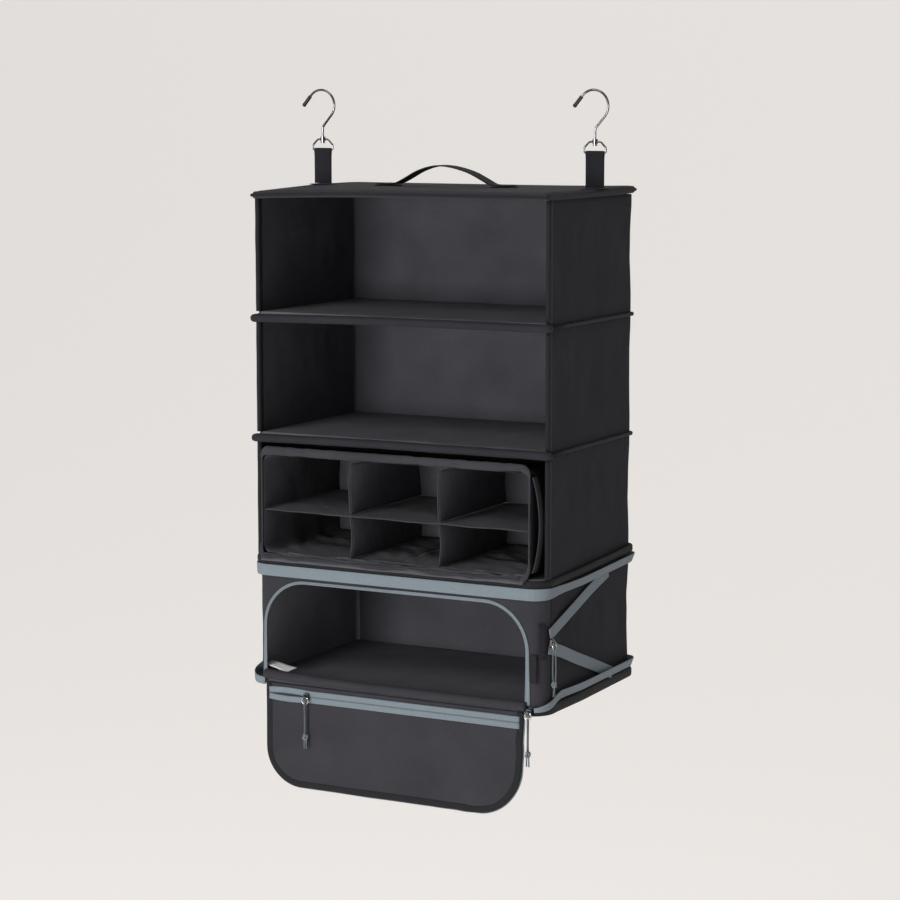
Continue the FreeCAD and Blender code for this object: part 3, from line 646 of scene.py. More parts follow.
lid = Shape()
first, last = low("top_cover"), high("top_cover")
slab(lid, rounded(first[0], last[0], first[1], last[1], back_radii(3, 16)), first[2], last[2], 3.2, wobble=0.5)
lid.points = top_lie(lid.points)
finish(lid.piece("top_panel", LID), "top", ["top_cover", "top_board"])
thread = Shape()
inner = rounded(first[0] + 6, last[0] - 6, first[1] + 6, last[1] - 6, back_radii(3, 14))
stitches(thread, top_lie(level(np.vstack([inner, inner[:1]]), last[2])), (0, 0, 1))
finish(thread.piece("top_stitching", THREAD), "top")
edge = Shape()
middle = (low("top_piping")[2] + high("top_piping")[2]) / 2
tube(edge, top_lie(level(ring_path("top_piping", 2, 4, 19), middle)), 2.0, True, 10, (0, 0, 1))
finish(edge.piece("top_edge_piping", TRIM), "top", ["top_piping"])


# ---------------------------------------------------------------- walls
def wall_path(front, corner=6.0, step=5.0):
    """Open line round the left side, the back and the right side, at the middle of the cloth."""
    x, y = SIDE - 1, BACK - 1
    line = [(-x, value) for value in np.linspace(front, y - corner, int((y - corner - front) / step))]
    turn = np.linspace(0.2, 1.37, 5)
    line += [(-x + corner - corner * math.cos(a), y - corner + corner * math.sin(a)) for a in turn]
    line += [(value, y) for value in np.linspace(-x + corner, x - corner, int(2 * (x - corner) / step))]
    line += [(x - corner + corner * math.sin(a), y - corner + corner * math.cos(a)) for a in turn]
    line += [(x, value) for value in np.linspace(y - corner, front, int((y - corner - front) / step))]
    return np.array(line)


def wall(name, body, low_z, high_z, front, nodes, fold, seed, deep=2.6):
    line = wall_path(front)
    run = np.concatenate([[0], np.cumsum(np.linalg.norm(np.diff(line, axis=0), axis=1))])
    heights = np.linspace(low_z, high_z, int((high_z - low_z) / 5))
    grid = np.zeros((len(heights), len(line), 3))
    uv = np.zeros((len(heights), len(line), 2))
    steps = np.gradient(line, axis=0)
    steps /= np.linalg.norm(steps, axis=1)[:, None]
    inward = np.stack([steps[:, 1], -steps[:, 0]], 1)
    for row, z in enumerate(heights):
        share = (z - low_z) / (high_z - low_z)
        hold = min(1, max(0, (z - low_z - 25) / 45)) * min(1, max(0, (high_z - z - 14) / 30))
        for column, (x, y) in enumerate(line):
            s = run[column]
            near_edge = min(1, s / 30, (run[-1] - s) / 30)
            folds = 0.5 + 0.5 * ripple(s * 0.022, z * 0.008, seed)
            folds += 0.35 * max(0, ripple(s * 0.05, z * 0.03, seed + 9)) * (0.4 + share)
            push = deep * hold * near_edge * max(0, folds)
            spot = line[column] + inward[column] * push
            grid[row, column] = (spot[0], spot[1], z)
            uv[row, column] = (s, z)
    cloth_piece = Shape()
    sheet(cloth_piece, grid, 1.6, uv)
    # the inner faces take the lighter copy of the shell cloth, which carries painted light
    piece = finish(cloth_piece.piece(name, SHELL, INSIDE), body, nodes, fold)
    # walls set behind tier 1's front take the still lighter copy on inner faces near the sides: painted light
    # on shaded side walls
    if front > WALL_FRONT:
        piece.data.materials.append(SIDE_INSIDE)
        for face in piece.data.polygons:
            if face.material_index == 1 and abs(face.center.x) > (SIDE - 8) * MM:
                face.material_index = 2
    return piece


BODIES = {1: "top", 2: "shelf_1", 3: "shelf_2", 4: "base"}
BASE_FOLD = flatten("tier_4_fold", FLOOR, high("tier_4_side_walls")[2])
for tier, body in BODIES.items():
    nodes = [f"tier_{tier}_side_walls", f"tier_{tier}_back_wall"]
    base, crown = low(nodes[0])[2], high(nodes[0])[2]
    fold = BASE_FOLD if tier == 4 else flatten(f"tier_{tier}_fold", crown, base)
    wall(f"tier_{tier}_wall", body, base + 0.3, crown - 0.3, low(nodes[0])[1], nodes, fold, tier * 3.7)

for tier in (1, 2, 3):
    node = f"tier_{tier}_edge_bindings"
    first, last = low(node), high(node)
    strip = Shape()
    for sign in (-1, 1):
        heights = np.arange(first[2], last[2] + 0.1, (last[2] - first[2]) / 24)
        middle = sign * (last[0] - 3.5)
        depth = (first[1] + last[1]) / 2
        path = [(middle + 0.5 * ripple(z * 0.03, sign, tier), depth + 0.6 * ripple(z * 0.02, sign, tier + 5), z)
                for z in heights]
        sweep(strip, path, oval(3.2, 5.2, 14, 3), (0, 1, 0))
    finish(strip.piece(f"tier_{tier}_trim", TRIM), BODIES[tier], [node],
           flatten(f"tier_{tier}_fold", last[2], first[2]))


# ---------------------------------------------------------------- shelves
def roll(shape, y, z, reach, half_y, half_z, droop, seed):
    """Padded front edge of a shelf, with rounded ends; its left end hangs by droop."""
    xs = np.concatenate([[-reach, -reach + 0.5, -reach + 1.5, -reach + 3], np.arange(-reach + 6, reach - 5, 6),
                         [reach - 3, reach - 1.5, reach - 0.5, reach]])
    path, profiles = [], []
    for x in xs:
        end = min(1, (reach - abs(x)) / 6)
        scale = max(0.04, math.sqrt(1 - (1 - end) ** 2))
        hang = droop * max(0.0, -x / reach) ** 1.5
        path.append((x, y + 0.4 * ripple(x * 0.02, 0, seed), z + 0.5 * ripple(x * 0.015, 1, seed) - hang))
        plump = 1 + 0.05 * ripple(x * 0.05, 3, seed)
        profiles.append(oval(half_y, half_z * plump, 20, 2.4) * scale)
    sweep(shape, path, np.array(profiles), (0, 0, 1))


for number in (1, 2):
    node = f"shelf_{number}_cover"
    body = f"shelf_{number}"
    first, last = low(node), high(node)
    middle = (first[2] + last[2]) / 2
    board = Shape()
    plan = rounded(-202.4, 202.4, -150, BACK - 2.4, back_radii(2, 4))
    slab(board, plan, first[2], last[2], 3, wobble=0.6, seed=number)
    # the shelf panel takes the lighter cloth, with painted light on its top
    finish(board.piece(f"{body}_panel", SHELF_PAINTED_LIGHT), body, [node])
    front_roll = Shape()
    roll(front_roll, -154.4, middle, last[0] + 2, 6.8, 5.2, 3.0 if number == 1 else 2.0, number)
    finish(front_roll.piece(f"{body}_front_roll", ROLL), body)
    cord_edge = Shape()
    node = f"shelf_{number}_piping"
    half = 1.7
    x, y, radius = high(node)[0] - half, high(node)[1] - half, 9
    path = [(-x, -146), (-x, -100), (-x, 0), (-x, y - radius)]
    path += [(-x + radius - radius * math.cos(a), y - radius + radius * math.sin(a))
             for a in np.linspace(0.2, 1.57, 6)]
    path += [(-100, y), (0, y), (100, y)]
    path += [(x - radius + radius * math.sin(a), y - radius + radius * math.cos(a))
             for a in np.linspace(0, 1.37, 6)]
    path += [(x, y - radius), (x, 0), (x, -100), (x, -146)]
    sweep(cord_edge, level(np.array(path), middle), oval(half, 2.4, 10), (0, 0, 1))
    finish(cord_edge.piece(f"{body}_edge_piping", TRIM), body, [node])


def ring_lie(outline, z, rise, flare=0.0):
    """Ring at height z that stands out at the front left corner and, by flare, at the sides' and the back's
    middle, and rises towards the back."""
    x, y = np.array(outline, float).T
    swell = np.exp(-((y + 128) / 60) ** 2) * (x < -150)
    share = np.clip((y - PANEL_FRONT - 30) / (BACK - PANEL_FRONT - 30), 0, 1)
    aside = np.clip((y + 120) / 60, 0, 1) * np.clip((np.abs(x) - 150) / 50, 0, 1)
    behind = np.clip((y - BACK + 25) / 25, 0, 1)
    return np.column_stack([x - 5.5 * swell + np.sign(x) * flare * aside, y + flare * behind, z + rise * share])


def band(name, node, body, half, front, back, material, power=5, flare=0.0, rise=0.0, opened=None):
    """Sewn tape round a shelf; opened marks the stretch of its outline that it leaves out."""
    first, last = low(node), high(node)
    ring = Shape()
    outline = ring_path(node, half, front, back, 6)
    path = ring_lie(outline, (first[2] + last[2]) / 2, rise, flare)
    if opened:
        beside = opened(outline)
        path = np.roll(path, -1 - int(np.flatnonzero(beside)[-1]), 0)[:len(path) - int(beside.sum())]
    sweep(ring, path, oval(half, (last[2] - first[2]) / 2, 16, power), (0, 0, 1), not opened)
    return finish(ring.piece(name, material), body, [node])


def beside_doorway(outline):
    """The front between the doorway's corners."""
    return (outline[:, 1] < PANEL_FRONT + 12) & (np.abs(outline[:, 0]) < 186)


RISE = 9.0
for body in ("shelf_3", "base"):
    node, trim = f"{body}_cover", f"{body}_binding"
    first, last = low(node), high(node)
    board = Shape()
    plan = rounded(first[0], last[0], first[1], last[1], back_radii(18, 3), 5)
    slab(board, plan, first[2], last[2], 2.5, wobble=0.5)
    # the panel takes the lighter cloth, with painted light on its top
    finish(board.piece(f"{body}_panel", SHELF_PAINTED_LIGHT), body, [node])
    band(f"{body}_trim", trim, body, 2.4, 26, 12, TRIM, 3, flare=3.0,
         rise=RISE if body == "shelf_3" else 3.0, opened=beside_doorway if body == "base" else None)


# ---------------------------------------------------------------- compression zipper
upper = high("upper_zipper_tape")[2]
FLARE = 5.2


def tape_profiles(outline):
    """Cross-section of the tape at each point: upright in front, leaning out and narrower at the sides."""
    sections = []
    for x, y in outline:
        aside = min(1, max(0, (y - PANEL_FRONT) / 60))
        lean = -0.35 * aside
        section = oval(0.6, 7.4 - 1.4 * aside, 16, 6)
        turned = np.array([[math.cos(lean), math.sin(lean)], [-math.sin(lean), math.cos(lean)]])
        sections.append(section @ turned)
    return np.array(sections)


tape_ring = Shape()
outline = rounded(-SIDE - 1.3, SIDE + 1.3, PANEL_FRONT - 2.3, BACK + 1.3, back_radii(23, 14), 5)
sweep(tape_ring, ring_lie(outline, upper - 7.5, RISE, FLARE), tape_profiles(outline), (0, 0, 1), True)
finish(tape_ring.piece("upper_tape", TAPE), "shelf_3", ["upper_zipper_tape"])

lower_low = low("lower_zipper_tape")[2]
lower_ring = Shape()
outline = rounded(-SIDE - 1.3, SIDE + 1.3, PANEL_FRONT - 1.3, BACK + 1.3, back_radii(22, 14), 4)
in_doorway = outline[:, 1] < PANEL_FRONT + 2
in_doorway &= (outline[:, 0] < SIDE - 16) & (outline[:, 0] > 24 - SIDE)
outline = np.roll(outline, -1 - int(np.flatnonzero(in_doorway)[-1]), 0)[:len(outline) - int(in_doorway.sum())]
path = ring_lie(outline, lower_low + 7.5, 2.0, FLARE)
sections = tape_profiles(outline)
near_end = np.clip((-112 - outline[:, 1]) / 48, 0, 1)
left_end = outline[:, 0] < 0
path[:, 2] -= np.where(left_end, 13.0, 11.0) * near_end ** 1.4
path[:, 0] += np.sign(path[:, 0]) * 4.4 * near_end * np.clip((np.abs(outline[:, 0]) - 184) / 20, 0, 1)
path[:, 1] -= 4.4 * np.clip((-138 - outline[:, 1]) / 22, 0, 1)
sections[:, :, 1] *= (1 - np.where(left_end, 0.35, 0.6) * near_end ** 2)[:, None]
sweep(lower_ring, path, sections, (0, 0, 1))


def side_tail(shape, spots, half_width):
    """Diagonal tape end lying on the right wall, through (out, y, z) spots."""
    line = smooth_path([(SIDE + out, y, z) for out, y, z in spots], 4)
    sweep(shape, line, oval(half_width, 0.5, 16, 6), (1, 0, 0))


side_tail(lower_ring, [(5.0, 32, -739), (1.6, -10, -722), (0.9, -70, -700), (0.9, -115, -683),
                       (0.9, -147, -673.5)], 7.6)
finish(lower_ring.piece("lower_tape", TAPE), "base", ["lower_zipper_tape"], BASE_FOLD)
upper_tail = Shape()
side_tail(upper_tail, [(5.6, 16, -604.5), (3.4, -30, -619), (2.3, -80, -636), (2.3, -120, -648.5),
                       (2.3, -147, -657)], 7.4)
finish(upper_tail.piece("upper_tape_end", TAPE), "shelf_3", (), ("tier_4_fold", upper, 0.5))


# ---------------------------------------------------------------- front panel with its doorway
def bend(u, z, out):
    """Point of the front panel: u runs round the panel's width, out is the distance in front of its middle."""
    flat = SIDE - ROUND
    radius = ROUND - 1 + out
    if abs(u) <= flat:
        return (u, PANEL_FRONT + 1 - out, z)
    turn = min(math.pi / 2, (abs(u) - flat) / (ROUND - 1))
    side = math.copysign(1, u)
    return (side * (flat + radius * math.sin(turn)), PANEL_FRONT + ROUND - radius * math.cos(turn), z)


def doorway(inset, bottom, step=4.0):
    """Line up the left of the doorway, over its top and down the right; inset moves it inward."""
    left, right, top = DOOR_LEFT + inset, DOOR_RIGHT - inset, DOOR_TOP - inset
    radius = DOOR_ROUND - inset
    line = [(left, z) for z in np.linspace(bottom, top - radius, int((top - radius - bottom) / step) + 2)]
    turn = np.linspace(0, math.pi / 2, 19)[1:]
    line += [(left + radius * (1 - math.cos(a)), top - radius * (1 - math.sin(a))) for a in turn]
    across = int((right - left - 2 * radius) / step)
    line += [(u, top) for u in np.linspace(left + radius, right - radius, across)[1:]]
    line += [(right - radius * (1 - math.sin(a)), top - radius * (1 - math.cos(a))) for a in turn]
    line += [(right, z) for z in np.linspace(top - radius, bottom, int((top - radius - bottom) / step) + 2)[1:]]
    return np.array(line)


panel_low = BOTTOM + 12.2
panel_high = high("tier_4_side_walls")[2] - 0.3
reach = SIDE - ROUND + (ROUND - 1) * math.pi / 2
inside = doorway(0, panel_low)
corner_left = (DOOR_LEFT + DOOR_ROUND, DOOR_TOP - DOOR_ROUND)
corner_right = (DOOR_RIGHT - DOOR_ROUND, DOOR_TOP - DOOR_ROUND)
outside = []
for u, z in inside:
    if z <= corner_left[1]:
        outside.append((math.copysign(reach, u), z))
        continue
    if corner_left[0] <= u <= corner_right[0]:
        outside.append((u, panel_high))
        continue
    centre = corner_left if u < 0 else corner_right
    ray = np.array([u - centre[0], z - centre[1]])
    wide = (reach - abs(centre[0])) / max(1e-9, abs(ray[0]))
    tall = (panel_high - centre[1]) / max(1e-9, ray[1])
    outside.append(tuple(np.array(centre) + ray * min(wide, tall)))
outside = np.array(outside)
shares = np.linspace(0, 1, 17)
grid = np.zeros((len(shares), len(inside), 3))
uv = np.zeros((len(shares), len(inside), 2))
for row, share in enumerate(shares):
    for column in range(len(inside)):
        u, z = inside[column] + (outside[column] - inside[column]) * share
        puff = 1.1 * math.sin(math.pi * share) * ripple(u * 0.03, z * 0.03, 2.2)
        grid[row, column] = bend(u, z, min(0.0, puff) - 0.2)
        uv[row, column] = (u, z)
panel = Shape()
sheet(panel, grid, 1.5, uv)
front_cloth = finish(panel.piece("front_cloth", PANEL), "base", ["front_panel"], BASE_FOLD)

door_tape = Shape()
line = doorway(-1.8, panel_low + 1)
path = np.array([bend(u, z, 1.4) for u, z in line])
lowness = np.clip((DOOR_TOP - 40 - line[:, 1]) / 80, 0, 1)[:, None]
half_tape = np.where(line[:, :1] > 0, 1.6 + 2.0 * lowness, 1.2 + 1.5 * lowness)
sections = oval(1, 0.5, 12, 5)[None] * np.stack([half_tape, np.ones_like(half_tape)], 2)
sweep(door_tape, path, sections, (0, 1, 0))
line = doorway(0.1, panel_low + 1)
tube(door_tape, np.array([bend(u, z, 1.3) for u, z in line]), 0.9, False, 8, (0, 1, 0))
finish(door_tape.piece("doorway_tape", TAPE), "base", ["front_zipper_tape"], BASE_FOLD)

sill = Shape()
xs = np.linspace(DOOR_LEFT - 1, DOOR_RIGHT + 1, 80)
path = [(x, PANEL_FRONT - 1.5 + 0.5 * ripple(x * 0.03, 1, 6), FLOOR + 0.6 + 3.6 * max(0, (-60 - x) / 128) ** 1.5
         + 0.5 * ripple(x * 0.02, 2, 3)) for x in xs]
sections = [oval(6.6 + 0.5 * ripple(x * 0.04, 3, 5), 6.4 + 0.7 * ripple(x * 0.05, 4, 2), 18, 2.2) for x in xs]
sweep(sill, path, np.array(sections), (0, 0, 1))
finish(sill.piece("doorway_sill", PANEL), "base")


# ---------------------------------------------------------------- labels and the grip tab
labels = Shape()
front_edge = np.linspace((-195.0, -156, FLOOR + 14.5), (-161.5, -156, FLOOR + 7.6), 12)
back_edge = np.linspace((-197.0, -137, FLOOR + 15.8), (-158.5, -137, FLOOR + 9.8), 12)
curl = 0.5 * np.sin(np.linspace(0, 2 * math.pi, 12))[:, None] * np.array((0, 0, 1))
grid = [front_edge + (back_edge - front_edge) * share + curl for share in np.linspace(0, 1, 6)]
sheet(labels, grid, 0.5, [[(x, y) for x in np.linspace(0, 38, 12)] for y in np.linspace(0, 20, 6)])
finish(labels.piece("floor_label", LABEL), "base", ["sewn_labels"], BASE_FOLD)
edge_label = Shape()
grid = [[(x, PANEL_FRONT - 1.3 - 0.5 * math.sin((z + 716) * 0.09), z) for x in np.linspace(187.8, 196.4, 5)]
        for z in np.linspace(-716, -681, 14)]
sheet(edge_label, grid, 0.6, [[(x, z) for x in np.linspace(0, 9, 5)] for z in np.linspace(0, 35, 14)])
finish(edge_label.piece("edge_label", DARK_LABEL), "base", (), BASE_FOLD)
tab = Shape()
lean = math.radians(45)
corner = np.array([SIDE - ROUND + ROUND * math.sin(lean), PANEL_FRONT + ROUND - ROUND * math.cos(lean)])
out = np.array([math.sin(lean), -math.cos(lean)])
loop = [(0.6, -642.5), (1.6, -645), (3.2, -650), (3.9, -658), (3.9, -670), (3.2, -680), (1.6, -685),
        (0.6, -687.5)]
path = smooth_path([(*(corner + out * away), z) for away, z in loop], 2.5)
sweep(tab, path, oval(4.2, 0.7, 12, 5), (out[0], out[1], 0))
finish(tab.piece("grip_loop", WEBBING), "base", ["grip_tab"], ("tier_4_fold", FLOOR, 0.2))


# ---------------------------------------------------------------- flap
flap_low, flap_high = low("flap_binding")[2], high("flap_panel")[2]
flap_left, flap_right = low("flap_binding")[0], high("flap_binding")[0]
flap_middle = (low("flap_panel")[1] + high("flap_panel")[1]) / 2
FLAP_ROUND = 62
FLAP_ROUND_LEFT = 50


def flap_taper(x, z):
    """The flap's right edge drawn in a little towards its end."""
    return x - 4.0 * max(0.0, (x - 60) / 120) * min(1, max(0, (flap_high - z) / 110)) ** 1.5


def flap_line(inset, step=4.0):
    left, right, end = flap_left + inset, flap_right - inset, flap_low + inset
    radius, bow = FLAP_ROUND - inset, FLAP_ROUND_LEFT - inset
    line = [(left, z) for z in np.linspace(flap_high, end + bow, int((flap_high - end - bow) / step) + 2)]
    turn = np.linspace(0, math.pi / 2, 17)[1:]
    line += [(left + bow * (1 - math.cos(a)), end + bow * (1 - math.sin(a))) for a in turn]
    across = int((right - left - bow - radius) / step)
    line += [(x, end) for x in np.linspace(left + bow, right - radius, across)[1:]]
    line += [(right - radius * (1 - math.sin(a)), end + radius * (1 - math.cos(a))) for a in turn]
    upward = int((flap_high - end - radius) / step) + 2
    line += [(right, z) for z in np.linspace(end + radius, flap_high, upward)[1:]]
    return np.array([(flap_taper(x, z), z) for x, z in line])


def flap_wave(x, z):
    """How far the flap's cloth stands forward of its middle plane."""
    away = min(1, (flap_high - z) / 40)
    wave_out = 0.9 * ripple(x * 0.012, z * 0.02, 4.4) * away
    fold = (x + 0.9 * (z + 790)) / 26 + 4.9
    wave_out += 1.2 * math.exp(-fold * fold) * away
    for start, strength in ((88, 1.6), (122, 2.4), (150, 1.2)):
        corner = (x - 0.8 * (z + 860) - start) / 10
        wave_out += strength * math.exp(-corner * corner) * away * min(1, max(0, (x - 40) / 60))
    return max(-1.2, min(2.6, wave_out))


left, right, end = flap_left + 2, flap_right - 2, flap_low + 2
radius = FLAP_ROUND - 2
columns = left + (right - left) * (0.5 - 0.5 * np.cos(np.linspace(0, math.pi, 90)))
grid = np.zeros((34, 90, 3))
uv = np.zeros((34, 90, 2))
for column, x in enumerate(columns):
    near = min(x - left, right - x)
    bow = radius if x > 0 else FLAP_ROUND_LEFT - 2
    drop = bow - math.sqrt(max(0, bow ** 2 - max(0, bow - near) ** 2)) if near < bow else 0
    for row, share in enumerate(np.linspace(0, 1, 34)):
        z = flap_high - 1 + (end + drop - flap_high + 1) * share
        grid[row, column] = (flap_taper(x, z), flap_middle - flap_wave(x, z), z)
        uv[row, column] = (x, z)
flap = Shape()
sheet(flap, grid, 1.4, uv)
flap_cloth = finish(flap.piece("flap_cloth", PANEL), "flap", ["flap_panel"])

trim = Shape()
line = flap_line(4.6)
path = np.array([(x, flap_middle - flap_wave(x, z), z) for x, z in line])
sweep(trim, path, oval(4.5, 1.5, 16, 3), (0, 1, 0))
finish(trim.piece("flap_trim", TRIM), "flap", ["flap_binding"])
tape = Shape()
line = flap_line(3.6)
path = np.array([(x, flap_middle - flap_wave(x, z) + 2.1, z) for x, z in line])
sweep(tape, path, oval(4.6, 0.5, 12, 5), (0, 1, 0))
line = flap_line(-0.6)
path = np.array([(x, flap_middle - flap_wave(x, z) + 2.0, z) for x, z in line])
tube(tape, path, 0.8, False, 8, (0, 1, 0))
finish(tape.piece("flap_tape", TAPE), "flap", ["flap_zipper_tape"])

pocket_high, pocket_low = high("pocket_zipper_tapes")[2], low("pocket_zipper_tapes")[2]
pocket_left, pocket_right = low("pocket_zipper_tapes")[0], high("pocket_zipper_tapes")[0]
seam = (pocket_high + pocket_low) / 2
slider_x = (low("pocket_slider")[0] + high("pocket_slider")[0]) / 2


def pocket_gap(x):
    if x > slider_x:
        return 0.0
    share = (slider_x - x) / (slider_x - pocket_left)
    return 1.5 * math.sin(math.pi * min(1, share * 1.02)) ** 0.7 if share < 0.98 else 0.0


pocket = Shape()
xs = np.linspace(pocket_left, pocket_right, 90)
for sign in (1, -1):
    path = [(x, flap_middle - flap_wave(x, seam) - 1.7, seam + sign * (3.9 + pocket_gap(x))) for x in xs]
    sweep(pocket, path, oval(0.55, 3.9, 14, 5), (0, 0, 1))
finish(pocket.piece("pocket_tape", TAPE), "flap", ["pocket_zipper_tapes"])
coil = Shape()
for sign in (1, -1):
    path = [(x, flap_middle - flap_wave(x, seam) - 1.9, seam + sign * (0.45 + pocket_gap(x))) for x in xs]
    tube(coil, path, 0.6, False, 8, (0, 0, 1))
finish(coil.piece("pocket_coil", COIL), "flap")


# ---------------------------------------------------------------- slide-out bin
bin_first, bin_last = low("bin_shell"), high("bin_shell")
BIN_FOLD = flatten("tier_3_fold", bin_first[2], low("shelf_2_cover")[2], 2)
BIN_REAR = bin_first[1] + 196
LIP_RISE = 7.5


def bin_loop(inset, step=6.0, radius=12.0):
    """Closed line in (x, z) round the bin, starting at the middle of its floor."""
    line = rounded(bin_first[0] + inset, bin_last[0] - inset, bin_first[2] + inset, bin_last[2] - inset,
                   (radius,) * 4, step)
    start = int(np.argmin(np.abs(line[:, 0]) + (line[:, 1] > -550) * 1000))
    line = np.roll(line, -start, 0)
    return np.vstack([line, line[:1]])


def bin_push(x, y, z):
    """Lumpy sag of the bin's cloth, pointing into the bin."""
    top = max(0, 1 - (bin_last[2] - z) / 25)
    floor = max(0, 1 - (z - bin_first[2]) / 25)
    lumps = 0.5 + ripple(x * 0.02, y * 0.025, z * 0.02 + 6)
    amount = 1.2 + 1.6 * max(0, lumps) + top * (2.0 + 2.0 * ripple(x * 0.018, y * 0.01, 8.8))
    return amount + floor * 4.5 * abs(ripple((x + y) * 0.03, (x - y) * 0.012, 3.1))


outline = bin_loop(1.5)
depths = np.linspace(bin_first[1] + 2, bin_last[1] - 1.5, 40)
steps = np.gradient(outline, axis=0)
steps[0] = steps[-1] = (1, 0)
steps /= np.linalg.norm(steps, axis=1)[:, None]
inward = np.stack([-steps[:, 1], steps[:, 0]], 1)
run = np.concatenate([[0], np.cumsum(np.linalg.norm(np.diff(outline, axis=0), axis=1))])
grid = np.zeros((len(depths), len(outline), 3))
uv = np.zeros((len(depths), len(outline), 2))
for row, y in enumerate(depths):
    hold = math.sin(math.pi * (0.08 + 0.84 * row / (len(depths) - 1)))
    for column, (x, z) in enumerate(outline):
        spot = np.array([x, z]) + inward[column] * bin_push(x, y, z) * hold
        grid[row, column] = (spot[0], y, spot[1])
        uv[row, column] = (run[column], y)
skin = Shape()
sheet(skin, grid, 1.4, uv)
# the bin's inner faces take the lighter bin cloth: painted light in its hollows
finish(skin.piece("bin_cloth", SHELL, BIN), "bin", ["bin_shell"], BIN_FOLD)
rear = Shape()
xs = np.linspace(bin_first[0] + 6.5, bin_last[0] - 6.5, 60)
zs = np.linspace(bin_first[2] + 6, bin_last[2] - 9, 24)
grid = [[(x, BIN_REAR - 4 - 9.0 * abs(ripple(x * 0.026, z * 0.02, 1.4)), z) for x in xs] for z in zs]
sheet(rear, grid, 1.4, [[(x, z) for x in xs] for z in zs])
# the cells' back takes the lighter cloth: painted light
finish(rear.piece("bin_back_cloth", BIN_BACK), "bin", (), BIN_FOLD)

lip = Shape()
outline = rounded(bin_first[0] + 2.4, bin_last[0] - 3.0, bin_first[2] + 3.0, bin_last[2] - 3.0 + LIP_RISE,
                  (12,) * 4, 3)
path, profiles = [], []
for x, z in outline:
    upper_share = min(1, max(0, (z - bin_last[2] + 14 - LIP_RISE) / 10))
    lower_share = min(1, max(0, (bin_first[2] + 18 - z) / 14))
    left_share = min(1, max(0, (-120 - x) / 70))
    slack = 0.5 + 0.5 * ripple(x * 0.03, z * 0.03, 7.7)
    low_slack = lower_share * (3.0 + 3.5 * slack)
    path.append((x - 2.2 * left_share * lower_share,
                 bin_first[1] - 1.2 - 4.5 * lower_share - 1.2 * upper_share * slack,
                 z - low_slack - 2.0 * upper_share * slack))
    lumpy = 0.5 + 0.5 * ripple(x * 0.09, z * 0.09, 2.9)
    tall = 1.3 + upper_share * (2.4 + 1.6 * slack + 1.5 * lumpy) + lower_share * (1.6 + 1.6 * slack)
    profiles.append(oval(tall, 1.4 + (1.2 + lumpy) * upper_share + 0.8 * lower_share * slack, 16, 2.2))
sweep(lip, path, np.array(profiles), (0, 1, 0), True)
finish(lip.piece("bin_lip", BIN_LIP), "bin", ["bin_rim"], BIN_FOLD)

crease = Shape()
lip_level = bin_last[2] - 3.0 + LIP_RISE
strands = [(1, lip_level + 1.4, 3.0, 3.2), (2, lip_level - 3.4, 5.0, 3.0), (3, lip_level - 1.0, 7.0, 4.0),
           (5, bin_first[2] - 1.0, 6.0, 8.0), (6, bin_first[2] + 3.0, 7.0, 6.5)]
for seed, height, fall, away in strands:
    xs = np.linspace(bin_first[0] + 9, bin_last[0] - 14, 90)
    path = [(x, bin_first[1] - away - 1.1 * ripple(x * 0.04, seed, 2),
             height + fall * 0.5 * ripple(x * 0.022, seed, 4)) for x in xs]
    thickness = [oval(0.8 + 0.6 * ripple(x * 0.06, seed, 9), 1.2 + 1.0 * ripple(x * 0.05, seed, 3), 10)
                 for x in xs]
    sweep(crease, path, np.array(thickness), (0, 0, 1))
finish(crease.piece("bin_gathers", BIN_LIP), "bin", (), BIN_FOLD)

apron = Shape()
xs = np.linspace(bin_first[0] + 5, bin_last[0] - 8, 110)
grid, uv = [], []
for share in np.linspace(0, 1, 14):
    row = []
    for x in xs:
        slack = ripple((x + 60 * share) * 0.035, share * 0.8, 5.6)
        slack += 0.6 * ripple((x - 90 * share) * 0.08, share, 1.1)
        hold = math.sin(math.pi * (0.15 + 0.8 * share))
        row.append((x, bin_first[1] + 10 - 20 * share - 2.2 * slack * hold,
                    bin_first[2] + 3.5 - 8.5 * share ** 1.6 + 3.6 * slack * hold))
    grid.append(row)
    uv.append([(x, 24 * share) for x in xs])
sheet(apron, grid, 1.2, uv)
# the apron takes the lighter bin cloth: painted highlights on its folds
finish(apron.piece("bin_apron", BIN), "bin", (), BIN_FOLD)

gusset = Shape()
heights = np.linspace(bin_first[2] + 8, bin_last[2] - 7, 30)
bow = [math.sin(math.pi * (z - heights[0]) / (heights[-1] - heights[0])) for z in heights]
path = [(bin_last[0] + 0.5 + 9.5 * out ** 0.8, bin_first[1] + 6, z) for z, out in zip(heights, bow)]
sweep(gusset, path, oval(7, 0.7, 12, 4), (1, 0, 0.001))
finish(gusset.piece("bin_side_gusset", BIN_EDGE), "bin", (), BIN_FOLD)

shelf_z = (low("bin_shelf")[2] + high("bin_shelf")[2]) / 2
shelf_first, shelf_last = low("bin_shelf"), high("bin_shelf")
leaves = Shape()
xs = np.linspace(shelf_first[0] + 1.5, shelf_last[0] - 1.5, 70)
ys = np.linspace(shelf_first[1], BIN_REAR - 4, 40)


def shelf_sag(x, y):
    return shelf_z + 0.9 * ripple(x * 0.025, y * 0.02, 5.5) + 0.4 * ripple(x * 0.07, y * 0.05, 1.5)


grid = [[(x, y, shelf_sag(x, y)) for x in xs] for y in ys]
sheet(leaves, grid, 1.4, [[(x, y) for x in xs] for y in ys])
